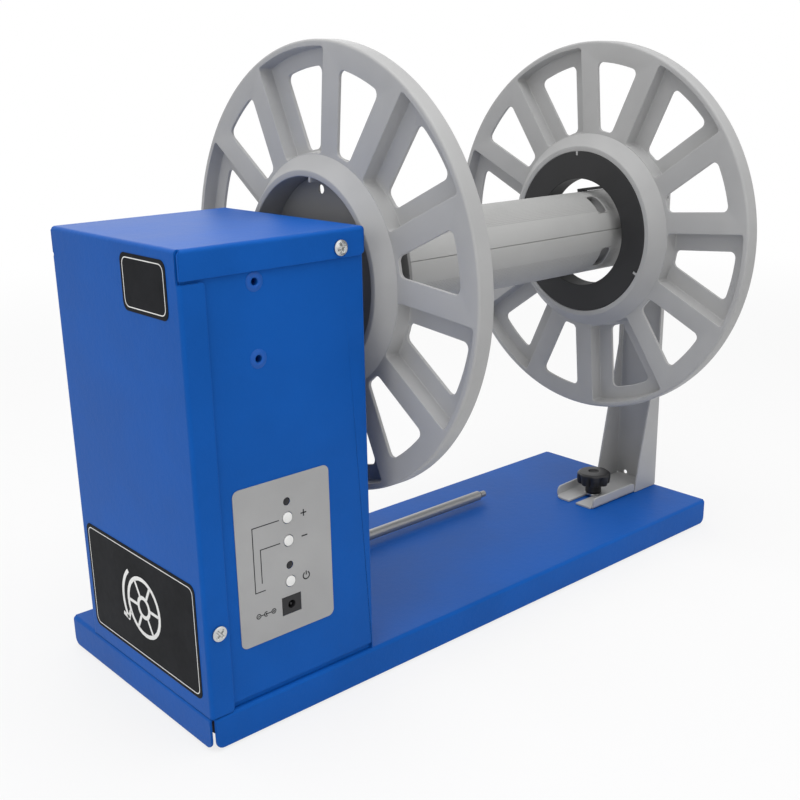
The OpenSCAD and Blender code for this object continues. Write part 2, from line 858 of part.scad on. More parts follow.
module drive_shaft() color(steel) on_axis() bar_x(shaft_x, shaft_end, shaft_r);

// Notches for the nibs of a flange that is turned by turn
module nib_notches(turn, x0, x1) {
    rotate([turn, 0, 0]) ring_of([for (i = [0 : nibs - 1]) i * 360 / nibs])
        translate([x0 - eps, -nib_w / 2 - slide_gap, hub_r - nib_h - slide_gap])
            cube([x1 - x0 + 2 * eps, nib_w + 2 * slide_gap, nib_h + eps]);
}

module hub_screw_places() {
    rotate([inner_turn + hub_screw_turn, 0, 0]) ring_of([for (i = [0 : hub_screws_n - 1]) i * 360 / hub_screws_n])
        translate([0, 0, hub_screw_ring]) children();
}

module hub_plate() {
    color(grey) on_axis() difference() {
        union() {
            bar_x(plate_x, core_x, hub_r - fit_gap);
            bar_x(back_x, core_x, plate_rim_r);
            bar_x(plate_x - hub_boss_l, plate_x + eps, hub_boss_r);
        }
        bar_x(plate_x - hub_boss_l - eps, core_x + eps, shaft_r);
        nib_notches(inner_turn, plate_x, back_x - eps);
        hub_screw_places() bar_x(back_x - eps, core_x + eps, hub_screw_r);
        rotate([sight_hole_turn, 0, 0]) translate([0, 0, sight_hole_ring]) {
            bar_x(plate_x - eps, core_x + eps, sight_hole_r);
            bar_x(plate_x + sight_wall, core_x + eps, sight_pocket_r);
        }
    }
}

module hub_screws() {
    on_axis() hub_screw_places() translate([core_x, 0, 0]) rotate([0, 90, 0])
        color(steel) pan_screw(hub_head_r, hub_head_h, hub_screw_r, hub_screw_l);
}

module inner_flange() {
    color(grey) on_axis() difference() {
        translate([hub_x, 0, 0]) rotate([inner_turn, 0, 0]) flange();
        hub_screw_places() bar_x(core_x - hub_screw_l, back_x + eps, hub_screw_r);
    }
}

module outer_flange() color(grey) on_axis() translate([outer_hub_x, 0, 0]) rotate([outer_turn, 0, 0]) flange();

// Sector of a tube between x0 and x1, centred on the top
module tube_sector(x0, x1, r, bore, half) sheet_x(x0, x1) intersection() {
    annulus(r, bore);
    wedge(half, run_gap, tube_r);
}

// Slots for the grips and for the lock lever, wider by gap on every side
module chuck_slots(gap, bore) {
    ring_of(grip_turns) tube_sector(grip_x - gap, grip_x + grip_w + gap, tube_r + eps, bore, grip_span);
    rotate([lever_turn - cam_turn / 2, 0, 0])
        tube_sector(lever_arm_x - gap, lever_arm_x + lever_arm_t + gap, tube_r + eps, bore,
            cam_turn / 2 + lever_half + slot_play);
    // Two slots that are open at the tube's end, for the carrier bar
    rotate([seam_turn, 0, 0]) translate([plug_end, -carrier_w / 2 - gap, -2 * tube_r])
        cube([tube_over + eps, carrier_w + 2 * gap, 4 * tube_r]);
}

module chuck_core() {
    color(tube_grey) on_axis() difference() {
        bar_x(core_x, chuck_end, core_r, core_in_r);
        chuck_slots(slide_gap, core_in_r - eps);
    }
}

// Half shell centred on the given turn
module half_shell(turn) {
    color(tube_grey) on_axis() difference() {
        rotate([turn, 0, 0]) sheet_x(core_x + run_gap, chuck_end) difference() {
            annulus(tube_r, shell_in_r);
            translate([-2 * tube_r, -4 * tube_r + seam_w / 2]) square(4 * tube_r);
        }
        chuck_slots(slide_gap, shell_in_r - eps);
    }
}

module shell_upper() half_shell(seam_turn - 90);
module shell_lower() half_shell(seam_turn + 90);

// Grip with its pad in the shell's slot and its stem on the cam
module grip(turn) {
    pad_r = tube_r - grip_sink;
    stem_top = pad_r - grip_pad_t;
    color(grey) on_axis() rotate([turn, 0, 0]) union() {
        tube_sector(grip_x, grip_x + grip_w, pad_r, stem_top - fit_gap, grip_span - slot_play);
        translate([grip_x + (grip_w - grip_stem_l) / 2, -grip_stem_w / 2, grip_foot_r])
            cube([grip_stem_l, grip_stem_w, stem_top - grip_foot_r]);
    }
}

module grip_1() grip(grip_turns[0]);
module grip_2() grip(grip_turns[1]);
module grip_3() grip(grip_turns[2]);
module grip_4() grip(grip_turns[3]);

module lock_cam() {
    arm_x1 = lever_arm_x + lever_arm_t;
    color(black) on_axis() difference() {
        union() {
            bar_x(cam_x, arm_x1, cam_r - cam_side);
            bar_x(cam_x, grip_x + grip_w + cam_side, cam_r);
            for (turn = grip_turns) rotate([turn + cam_turn, 0, 0]) translate([0, 0, cam_lobe_ring])
                bar_x(cam_x, grip_x + grip_w + cam_side, cam_lobe_r);
            rotate([lever_turn, 0, 0]) {
                translate([lever_arm_x, -lever_w / 2, cam_r / 2])
                    cube([lever_arm_t, lever_w, tube_r + lever_rise - cam_r / 2]);
                translate([lever_arm_x, -lever_w / 2, tube_r + face_gap])
                    cube([chuck_end - lever_arm_x, lever_w, lever_rise - face_gap]);
            }
        }
        bar_x(cam_x - eps, arm_x1 + eps, cam_bore_r);
    }
}

module retaining_rings() {
    for (x = [cam_x - clip_t - run_gap, shaft_clip_x])
        color(steel) on_axis() bar_x(x, x + clip_t, shaft_r + clip_w, shaft_r);
}

module end_plug() {
    color(grey) on_axis() {
        difference() {
            bar_x(plug_x, plug_end, core_in_r - run_gap);
            bar_x(plug_x - eps, plug_end + eps, shaft_r);
        }
        drive_pins() bar_x(plug_end - eps, plug_end + drive_pin_l, drive_pin_r);
    }
}

// Places of the two drive pins, along the carrier bar
module drive_pins() ring_of([seam_turn, seam_turn + 180]) translate([0, 0, drive_pin_ring]) children();

module adapter_ring() {
    x1 = outer_hub_x + ring_w;
    color(black) on_axis() difference() {
        bar_x(outer_hub_x, x1, hub_r - fit_gap, ring_in_r);
        nib_notches(outer_turn, outer_hub_x, x1);
        carrier_places() bar_x(x1 - carrier_screw_l + carrier_t, x1 + eps, carrier_screw_r);
    }
}

module carrier_places() ring_of([seam_turn, seam_turn + 180]) translate([0, 0, carrier_screw_ring]) children();

module carrier_bar() {
    x0 = outer_hub_x + ring_w;
    color(black) on_axis() difference() {
        union() {
            rotate([seam_turn, 0, 0]) translate([x0, -carrier_w / 2, -carrier_l / 2])
                cube([carrier_t, carrier_w, carrier_l]);
            bar_x(x0, x0 + carrier_hub_l, carrier_hub_r);
        }
        bar_x(x0 - eps, x0 + carrier_hub_l + eps, shaft_r + run_gap);
        drive_pins() bar_x(x0 - eps, x0 + carrier_t + eps, drive_pin_r + slide_gap);
        carrier_places() bar_x(x0 - eps, x0 + carrier_t + eps, carrier_screw_r);
    }
}

module carrier_screws() {
    on_axis() carrier_places() translate([outer_hub_x + ring_w + carrier_t, 0, 0]) rotate([0, 90, 0])
        color(steel) pan_screw(carrier_head_r, carrier_head_h, carrier_screw_r, carrier_screw_l);
}

// Outline of the foot, whose two outer corners at the fork are round
module foot_outline(length, half) {
    translate([foot_far_r, -half]) square([length - foot_far_r, 2 * half]);
    translate([0, -half + foot_near_r]) square([length, 2 * half - foot_near_r - foot_far_r]);
    translate([foot_near_r, -half + foot_near_r]) circle(r = foot_near_r, $fn = fn);
    translate([foot_near_r, -half]) square([foot_far_r, foot_near_r]);
    translate([foot_far_r, half - foot_far_r]) circle(r = foot_far_r, $fn = fn);
}

module upright() {
    half = upright_w / 2;
    end_x = upright_x;
    web_x = end_x - upright_t;
    color(pale) difference() {
        union() {
            translate([web_x, -half, foot_z]) cube([upright_t, upright_w, upright_h - foot_gap]);
            translate([foot_x, 0, foot_z]) linear_extrude(upright_t) foot_outline(end_x - foot_x, half);
            for (y = [-half, half - upright_t]) sheet_y(y, y + upright_t) {
                polygon([
                    [end_x, foot_z], [end_x - side_deep, foot_z], [end_x - side_slim, base_z + slim_from],
                    [end_x - side_slim, base_z + slim_to], [end_x - side_head, base_z + head_from],
                    [end_x - side_head, base_z + upright_h], [end_x, base_z + upright_h]]);
                translate([foot_x + foot_lip_in, foot_z]) mirror([0, 1]) translate([0, -foot_lip_h])
                    lip(side_start - foot_x - foot_lip_in - foot_lip_gap, foot_lip_h, foot_lip_r);
            }
        }
        translate([stud_x, 0, foot_z - eps]) cylinder(h = upright_t + 2 * eps, r = fork_w / 2, $fn = fn);
        translate([foot_x - eps, -fork_w / 2, foot_z - eps])
            cube([stud_x - foot_x + eps, fork_w, upright_t + 2 * eps]);
        on_axis() bar_x(web_x - eps, end_x + eps, bushing_r);
        translate([0, web_hole[0], base_z + web_hole[1]]) bar_x(web_x - eps, end_x + eps, web_hole_r);
        bar_y(base_l / 2 - head_hole[0], base_z + head_hole[1], -half - eps, -half + upright_t + eps, head_hole_r);
    }
}

module upright_bushing() {
    x1 = upright_x;
    color(black) on_axis() difference() {
        union() {
            bar_x(x1 - upright_t - bushing_rim_t, x1 - upright_t, bushing_rim_r);
            bar_x(x1 - bushing_l, x1, bushing_r);
        }
        bar_x(x1 - bushing_l - eps, x1 + eps, shaft_r + run_gap);
    }
}

module clamp_knob() {
    color(black) translate([stud_x, 0, 0]) {
        difference() {
            union() {
                translate([0, 0, head_z]) linear_extrude(knob_h) {
                    circle(r = knob_core_r, $fn = fn);
                    for (i = [0 : knob_lobes - 1]) rotate(i * 360 / knob_lobes)
                        translate([knob_r - knob_lobe_r, 0]) circle(r = knob_lobe_r, $fn = fn);
                }
            }
            translate([0, 0, head_z + knob_h - knob_recess_d])
                cylinder(h = knob_recess_d + eps, r = knob_recess_r, $fn = fn);
        }
        translate([0, 0, neck_z]) cylinder(h = neck_h + eps, r = neck_r, $fn = fn);
        translate([0, 0, stud_low]) cylinder(h = neck_z - stud_low + eps, r = stud_r, $fn = fn);
    }
}

module clamp_washer() {
    color(steel) translate([stud_x, 0, washer_z]) difference() {
        cylinder(h = washer_t, r = washer_r, $fn = fn);
        translate([0, 0, -eps]) cylinder(h = washer_t + 2 * eps, r = stud_r + thread_gap, $fn = fn);
    }
}

module base_nut() {
    color(steel) translate([stud_x, 0, base_z - base_t - nut_t]) difference() {
        cylinder(h = nut_t, r = nut_r, $fn = 6);
        translate([0, 0, -eps]) cylinder(h = nut_t + 2 * eps, r = stud_r + run_gap, $fn = fn);
    }
}

// Children at the pivot of the dancer arm
module at_pivot() translate([0, pivot_y, pivot_z]) children();

module arm_bushing() {
    color(brass) at_pivot() difference() {
        union() {
            bar_x(chassis_end, chassis_end + pivot_rim_t, pivot_rim_r);
            bar_x(inner_x - pivot_bush_l, chassis_end + eps, pivot_bush_r);
        }
        bar_x(inner_x - pivot_bush_l - eps, chassis_end + pivot_rim_t + eps, pivot_r + run_gap);
    }
}

module pivot_shaft() color(steel) at_pivot() bar_x(pivot_x, arm_x + arm_t, pivot_r);

module dancer_arm() {
    across = [rod_back - pivot_y, rod_z - pivot_z];
    reach = norm(across);
    color(steel) at_pivot() difference() {
        union() {
            bar_x(arm_x, arm_x + arm_t, arm_hub_r);
            rotate([atan2(across[1], across[0]), 0, 0]) translate([arm_x, 0, -arm_w / 2])
                cube([arm_t, reach, arm_w]);
            translate([0, across[0], across[1]]) bar_x(arm_x, arm_x + arm_t, arm_tip_r);
        }
        bar_x(arm_x - eps, arm_x + arm_t + eps, pivot_r);
        translate([0, across[0], across[1]]) bar_x(arm_x - eps, arm_x + arm_t + eps, rod_spigot_r);
    }
}

module dancer_rod() {
    x0 = arm_x + arm_t;
    x1 = outer_hub_x - rod_short;
    color(steel) translate([0, rod_back, rod_z]) {
        bar_x(x0, x1 - rod_chamfer, rod_r);
        translate([x1 - rod_chamfer, 0, 0]) rotate([0, 90, 0])
            cylinder(h = rod_chamfer, r1 = rod_r, r2 = rod_r - rod_chamfer, $fn = fn);
        bar_x(x1 - eps, x1 + rod_groove_l + eps, rod_groove_r);
        bar_x(x1 + rod_groove_l, x1 + rod_tip_l, rod_tip_r);
        bar_x(arm_x, x0 + eps, rod_spigot_r);
    }
}

module arm_stop() {
    top = rod_z - rod_r - face_gap;
    color(black) translate([stop_x, rod_back - stop_w / 2, base_z]) cube([stop_l, stop_w, top - base_z]);
}

module angle_sensor() {
    color(green) at_pivot() difference() {
        union() {
            bar_x(pivot_x - sensor_tab_t, pivot_x - sensor_tab_t + sensor_l, sensor_r);
            for (y = [-sensor_r, sensor_r - sensor_tab_t])
                translate([pivot_x, y, -sensor_tab_t]) cube([pivot_in, sensor_tab_t, 2 * sensor_tab_t]);
        }
        bar_x(pivot_x - face_gap, pivot_x + sensor_l, pivot_r + run_gap);
    }
}

module control_panel() {
    color(pale) difference() {
        translate([panel_x, 0, panel_z]) sheet_y(-chassis_y - panel_t, -chassis_y)
            round_plate([panel_w, panel_h], panel_corner_r);
        for (z = button_zs) bar_y(column_x, panel_z + z, -house_y, -inner_y, button_r + button_gap);
        for (z = led_zs) bar_y(column_x, panel_z + z, -house_y, -inner_y, led_r + run_gap);
        translate([column_x - inlet_w / 2 - slide_gap, -house_y, panel_z + inlet_z - inlet_h / 2 - slide_gap])
            cube([inlet_w + 2 * slide_gap, house_y - inner_y, inlet_h + 2 * slide_gap]);
    }
}

module circuit_board() {
    color(green) difference() {
        translate([board_x, board_y, board_z]) cube([board_w, board_t, board_h]);
        spacer_places() bar_y(0, 0, board_y - eps, board_y + board_t + eps, spacer_r / 2);
    }
}

// Corners of the circuit board
module spacer_places() {
    for (x = [board_x + spacer_inset, board_x + board_w - spacer_inset],
         z = [board_z + spacer_inset, board_z + board_h - spacer_inset]) translate([x, 0, z]) children();
}

module board_spacers() spacer_places() color(steel) {
    bar_y(0, 0, -inner_y, board_y, spacer_r);
    bar_y(0, 0, board_y - eps, board_y + board_t, spacer_r / 2);
}

module key_switches() {
    for (z = button_zs) color(black) difference() {
        translate([column_x - switch_w / 2, board_y - switch_h, panel_z + z - switch_w / 2])
            cube([switch_w, switch_h, switch_w]);
        bar_y(column_x, panel_z + z, board_y - switch_h - eps, board_y - face_gap, switch_bore_r);
    }
}

// Push button at the given height, with its stem in the key switch
module button(z) {
    cap_in = board_y - switch_h - button_travel - face_gap;
    color(cream) {
        bar_y(column_x, panel_z + z, -chassis_y - panel_t - button_proud, cap_in, button_r);
        bar_y(column_x, panel_z + z, cap_in - eps, board_y - switch_h + stem_in, stem_r);
    }
}

module button_1() button(button_zs[0]);
module button_2() button(button_zs[1]);
module button_3() button(button_zs[2]);

module led_lenses() {
    for (z = led_zs) color(black) bar_y(column_x, panel_z + z, -chassis_y - panel_t, board_y, led_r);
}

module dc_inlet() {
    y0 = -chassis_y - panel_t;
    z = panel_z + inlet_z;
    color(black) {
        difference() {
            translate([column_x - inlet_w / 2, y0, z - inlet_h / 2]) cube([inlet_w, board_y - y0, inlet_h]);
            bar_y(column_x, z, y0 - eps, y0 + inlet_socket_d, inlet_socket_r);
        }
        bar_y(column_x, z, y0 + eps, y0 + inlet_socket_d + eps, inlet_pin_r);
    }
}

// Label on the end wall
module end_label(at, size) {
    color(black) translate([0, base_y + at[0], base_z + at[1]]) sheet_x(cover_x - label_t, cover_x)
        round_plate(size, label_corner_r);
}

module label_upper() end_label(label_upper_at, label_upper_size);
module label_lower() end_label(label_lower_at, label_lower_size);

base_plate();
rubber_feet();
chassis();
cover();
cover_screws();
bracket_rivets();
motor_bracket();
motor_screws();
motor();
gearbox();
gearbox_shaft();
coupling_motor_half();
coupling_spider();
coupling_shaft_half();
bearing_block();
block_screws();
shaft_bearings();
drive_shaft();
hub_plate();
hub_screws();
inner_flange();
chuck_core();
shell_upper();
shell_lower();
grip_1();
grip_2();
grip_3();
grip_4();
lock_cam();
retaining_rings();
end_plug();
adapter_ring();
carrier_bar();
carrier_screws();
outer_flange();
upright();
upright_bushing();
clamp_knob();
clamp_washer();
base_nut();
chassis_screws();
arm_bushing();
pivot_shaft();
dancer_arm();
dancer_rod();
arm_stop();
angle_sensor();
control_panel();
circuit_board();
board_spacers();
key_switches();
button_1();
button_2();
button_3();
led_lenses();
dc_inlet();
label_upper();
label_lower();
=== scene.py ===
# Label rewinder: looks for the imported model. A powder coated housing drives two spoked flanges on a
# ribbed core chuck, and a grey upright clamped to the base carries the far end of the shaft.
# The reel axis runs along X, the front faces -Y, and the floor is at Z = 0. Sizes are in metres.
import bmesh
import bpy
import numpy as np
from math import acos, atan2, cos, pi, radians, sin, sqrt, tan
from mathutils import Matrix, Vector


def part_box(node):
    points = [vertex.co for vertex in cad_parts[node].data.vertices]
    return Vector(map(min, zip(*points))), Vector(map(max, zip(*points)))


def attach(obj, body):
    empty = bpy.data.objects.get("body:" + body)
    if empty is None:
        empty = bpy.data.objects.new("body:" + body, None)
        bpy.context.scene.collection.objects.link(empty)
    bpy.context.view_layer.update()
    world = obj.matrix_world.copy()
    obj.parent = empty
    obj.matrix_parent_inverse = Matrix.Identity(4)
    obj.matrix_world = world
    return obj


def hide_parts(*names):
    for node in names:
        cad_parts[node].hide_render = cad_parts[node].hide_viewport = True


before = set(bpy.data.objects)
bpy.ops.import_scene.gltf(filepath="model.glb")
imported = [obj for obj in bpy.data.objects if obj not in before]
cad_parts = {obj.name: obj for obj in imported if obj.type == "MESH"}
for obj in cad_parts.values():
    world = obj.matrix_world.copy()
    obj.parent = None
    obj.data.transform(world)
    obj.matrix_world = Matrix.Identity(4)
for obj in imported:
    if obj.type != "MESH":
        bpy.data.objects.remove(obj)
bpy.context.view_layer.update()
mm = 0.001
weldGap = 2e-6


def nodeBox(node):
    # Lowest and highest corners of a node, as arrays
    low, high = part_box(node)
    return np.array(low), np.array(high)


def srgb(red, green, blue):
    # Colour picked on screen, 0 to 255, as the linear colour that shaders take
    shares = np.array([red, green, blue]) / 255
    linear = np.where(shares <= 0.04045, shares / 12.92, ((shares + 0.055) / 1.055) ** 2.4)
    return tuple(float(share) for share in linear)


# Camera: solved from the photographed corners and rims
camera = {
    "place": (-0.64241, -0.68061, 0.45600),
    "azimuth": -40.864,
    "elevation": 17.275,
    "roll": -1.190,
    "lens": 49.213,
    "sensor": 36.0,
    "shift": (0.01124, 0.02086),
}


# Shader tools
class Wire:
    # An output socket; sums, differences and products of wires and numbers add their Math nodes
    def __init__(self, finish, socket):
        self.finish = finish
        self.socket = socket

    def __add__(self, other):
        return self.finish.maths("ADD", self, other)

    def __radd__(self, other):
        return self.finish.maths("ADD", other, self)

    def __sub__(self, other):
        return self.finish.maths("SUBTRACT", self, other)

    def __rsub__(self, other):
        return self.finish.maths("SUBTRACT", other, self)

    def __mul__(self, other):
        return self.finish.maths("MULTIPLY", self, other)

    def __rmul__(self, other):
        return self.finish.maths("MULTIPLY", other, self)


class Shading:
    # The emptied node tree of a material or a world
    def __init__(self, owner):
        owner.use_nodes = True
        self.tree = owner.node_tree
        self.tree.nodes.clear()

    def plug(self, socket, value):
        if isinstance(value, Wire):
            self.tree.links.new(value.socket, socket)
        elif socket.type == "RGBA":
            socket.default_value = (*value, 1)
        else:
            socket.default_value = value

    def add(self, kind, settings=None, sockets=None, out=0):
        # Any node: its settings first, then the values or links of its sockets
        node = self.tree.nodes.new(kind)
        for key, value in (settings or {}).items():
            setattr(node, key, value)
        for key, value in (sockets or {}).items():
            self.plug(node.inputs[key], value)
        return Wire(self, node.outputs[out])

    def maths(self, operation, *terms):
        return self.add("ShaderNodeMath", {"operation": operation}, dict(enumerate(terms)))

    def vector(self, operation, *terms, out=0):
        return self.add("ShaderNodeVectorMath", {"operation": operation}, dict(enumerate(terms)), out)


class Finish(Shading):
    # A material with one Principled shader; its constants are set on the shader's own sockets
    def __init__(self, name, **constants):
        self.material = bpy.data.materials.new(name)
        super().__init__(self.material)
        self.shader = self.tree.nodes.new("ShaderNodeBsdfPrincipled")
        self.output = self.tree.nodes.new("ShaderNodeOutputMaterial").inputs[0]
        self.plug(self.output, Wire(self, self.shader.outputs[0]))
        for key, value in constants.items():
            self.set(key.replace("_", " "), value)
        self.place = self.add("ShaderNodeTexCoord", out="Object")

    def set(self, key, value):
        self.plug(self.shader.inputs[key], value)

    def axes(self):
        # X, Y and Z of the place on the object
        node = self.add("ShaderNodeSeparateXYZ", None, {0: self.place}).socket.node
        return [Wire(self, node.outputs[index]) for index in range(3)]

    def noise(self, scale, detail=2.0, roughness=0.5, stretch=None):
        place = self.place if stretch is None else self.vector("MULTIPLY", self.place, stretch)
        return self.add("ShaderNodeTexNoise", None,
                        {"Vector": place, "Scale": scale, "Detail": detail, "Roughness": roughness})

    def mixed(self, share, first, second):
        return self.add("ShaderNodeMix", {"data_type": "RGBA"}, {0: share, 6: first, 7: second}, 2)

    def between(self, value, low, high):
        # Spreads a noise from 0..1 to low..high
        return value * (high - low) + low

    def step(self, value, low, high):
        # Smooth step from 0 at low to 1 at high
        return self.add("ShaderNodeMapRange", {"interpolation_type": "SMOOTHSTEP"},
                        {"Value": value, "From Min": low, "From Max": high})

    def coat(self, tone, roughness, height, depth):
        # What every finish ends with: its colour, its roughness and its relief
        self.set("Base Color", tone)
        self.set("Roughness", roughness)
        self.set("Normal", self.add("ShaderNodeBump", None, {"Height": height, "Distance": depth}))
        return self.material


def shades(colour, spread):
    # The colour a little darker and a little lighter
    return tuple(c * (1 - spread) for c in colour), tuple(min(1.0, c * (1 + spread)) for c in colour)


def powderCoat(name, colour, grain=720.0, depth=0.0001, roughness=0.44, gloss=0.14, tint=(1.0, 1.0, 1.0)):
    # Baked powder coat: fine orange peel, with a slow drift in colour and gloss, and painted glints: small
    # lighter spots standing in for sparkle off the peel
    finish = Finish(name, Specular_IOR_Level=gloss, IOR=1.5, Specular_Tint=tint)
    peel = finish.noise(grain, 2.0, 0.45)
    drift = finish.noise(9.0, 3.0, 0.6)
    low, high = shades(colour, 0.07)
    # Painted glints: random small spots mixed towards a lighter colour, in place of highlights off the peel
    glintSpots = finish.step(finish.noise(grain * 2.4, 1.0, 0.5), 0.62, 0.72)
    tone = finish.mixed(finish.step(drift, 0.3, 0.7), low, high)
    glintColour = tuple(min(1.0, c * 1.6 + 0.02) for c in colour)
    return finish.coat(finish.mixed(glintSpots * 0.10, tone, glintColour),
                       finish.between(drift, roughness - 0.05, roughness + 0.07) + peel * 0.05,
                       peel + finish.noise(grain * 0.22, 1.0, 0.5) * 1.4, depth)


def mouldedPlastic(name, colour, grain=1500.0, depth=0.00003, roughness=0.5, spread=0.04, flow=22.0):
    # Injection moulded plastic: eroded-tool grain, faint flow marks
    finish = Finish(name, Specular_IOR_Level=0.35, IOR=1.47)
    fine = finish.noise(grain, 3.0, 0.6)
    slow = finish.noise(flow, 2.0, 0.55)
    low, high = shades(colour, spread)
    return finish.coat(finish.mixed(finish.step(slow * 0.75 + fine * 0.25, 0.3, 0.7), low, high),
                       finish.between(slow, roughness - 0.06, roughness + 0.06) + fine * 0.06, fine, depth)


def metal(name, colour, roughness=0.3, brush=(60.0, 1400.0, 1400.0), depth=0.00001, metallic=1.0):
    # Bare or plated metal: drawn streaks along one axis and a slow cloud in its gloss
    finish = Finish(name, Metallic=metallic)
    streak = finish.noise(1.0, 3.0, 0.65, stretch=brush)
    cloud = finish.noise(120.0, 2.0, 0.6)
    low, high = shades(colour, 0.08)
    shine = finish.between(streak, roughness - 0.06, roughness + 0.08) + cloud * 0.06
    return finish.coat(finish.mixed(streak * 0.6 + cloud * 0.4, low, high), shine, streak, depth)


def rubber(name, colour):
    # Matt rubber with a fine grain and a dusty bloom
    finish = Finish(name, Specular_IOR_Level=0.3)
    grain = finish.noise(1100.0, 3.0, 0.7)
    bloom = finish.noise(160.0, 3.0, 0.6)
    low, high = shades(colour, 0.25)
    return finish.coat(finish.mixed(finish.step(bloom, 0.35, 0.75), low, high),
                       finish.between(bloom, 0.72, 0.9), grain, 0.00008)


def glossyLabel(name, colour):
    # Printed film label: near black, satin, with a soft waviness from the wall under it
    finish = Finish(name, Specular_IOR_Level=0.05)
    wave = finish.noise(210.0, 2.0, 0.5)
    low, high = shades(colour, 0.18)
    return finish.coat(finish.mixed(finish.step(finish.noise(30.0, 2.0, 0.5), 0.3, 0.7), low, high),
                       finish.between(wave, 0.46, 0.58), wave, 0.00003)


def circuitBoard(name):
    # Solder mask over copper: traces from a stepped cell pattern, lighter where copper lies under
    finish = Finish(name, Coat_Weight=0.3, Coat_Roughness=0.2)
    cells = finish.add("ShaderNodeTexVoronoi", {"feature": "F1", "distance": "MANHATTAN"},
                       {"Vector": finish.place, "Scale": 160.0}, "Distance")
    copper = finish.step(cells, 0.42, 0.5)
    return finish.coat(finish.mixed(copper, srgb(16, 82, 50), srgb(34, 122, 72)),
                       finish.between(finish.noise(300.0), 0.3, 0.42), copper, 0.00003)


def knurledTube(name, colour, centre, seamTurns):
    # Moulded core tube: rows of small studs, and smooth bands beside the two seams. The studs carry painted
    # shade as well as relief
    finish = Finish(name, Specular_IOR_Level=0.35, IOR=1.47)
    pitch, tube = 0.0034, 0.0381
    x, y, z = finish.axes()
    turn = finish.maths("ARCTAN2", 0.0 - y, z - centre)
    rowPhase = x * (2 * pi / pitch)
    studPhase = turn * (2 * round(pi * tube / pitch))
    wave = finish.maths("COSINE", rowPhase) * finish.maths("COSINE", studPhase)
    smooth = None
    for seam in seamTurns:
        away = finish.maths("ABSOLUTE", finish.maths("SINE", (turn - radians(seam)) * 0.5))
        band = finish.step(away, sin(radians(14.2)), sin(radians(14.8)))
        smooth = band if smooth is None else smooth * band
    studReliefAndShade = finish.step(finish.maths("ABSOLUTE", wave), 0.3, 0.8) * smooth
    fine = finish.noise(1500.0, 3.0, 0.6)
    slow = finish.noise(18.0, 2.0, 0.5)
    low, high = shades(colour, 0.035)
    tone = finish.mixed(finish.step(slow * 0.8 + fine * 0.2, 0.3, 0.7), low, high)
    # Painted shade: the studs' colour is darkened towards 0.6 of the tube's tone where they stand out
    return finish.coat(finish.mixed(studReliefAndShade * 0.34, tone, tuple(c * 0.6 for c in colour)),
                       finish.between(slow, 0.42, 0.52) + fine * 0.05, studReliefAndShade * 0.9 + fine * 0.1, 0.00028)


def depthShadedPlastic(name, colour, depthShadeColour, centre):
    # Tube plastic with painted shade that darkens with its depth under the tube's face: a darker grey once
    # sunk, near black at the deepest
    finish = Finish(name, Specular_IOR_Level=0.3, IOR=1.47)
    y, z = finish.axes()[1:]
    radius = finish.maths("SQRT", y * y + (z - centre) * (z - centre))
    grain = finish.noise(1200.0, 3.0, 0.6)
    # Painted shade: darker grey below the tube's face, and down to 0.3 of it as painted shadow at the
    # deepest
    shade = finish.mixed(finish.step(radius, 0.0335, 0.0368), tuple(c * 0.3 for c in depthShadeColour), depthShadeColour)
    return finish.coat(finish.mixed(finish.step(radius, 0.0371, 0.0379), shade, colour),
                       finish.between(grain, 0.5, 0.64), grain, 0.00006)


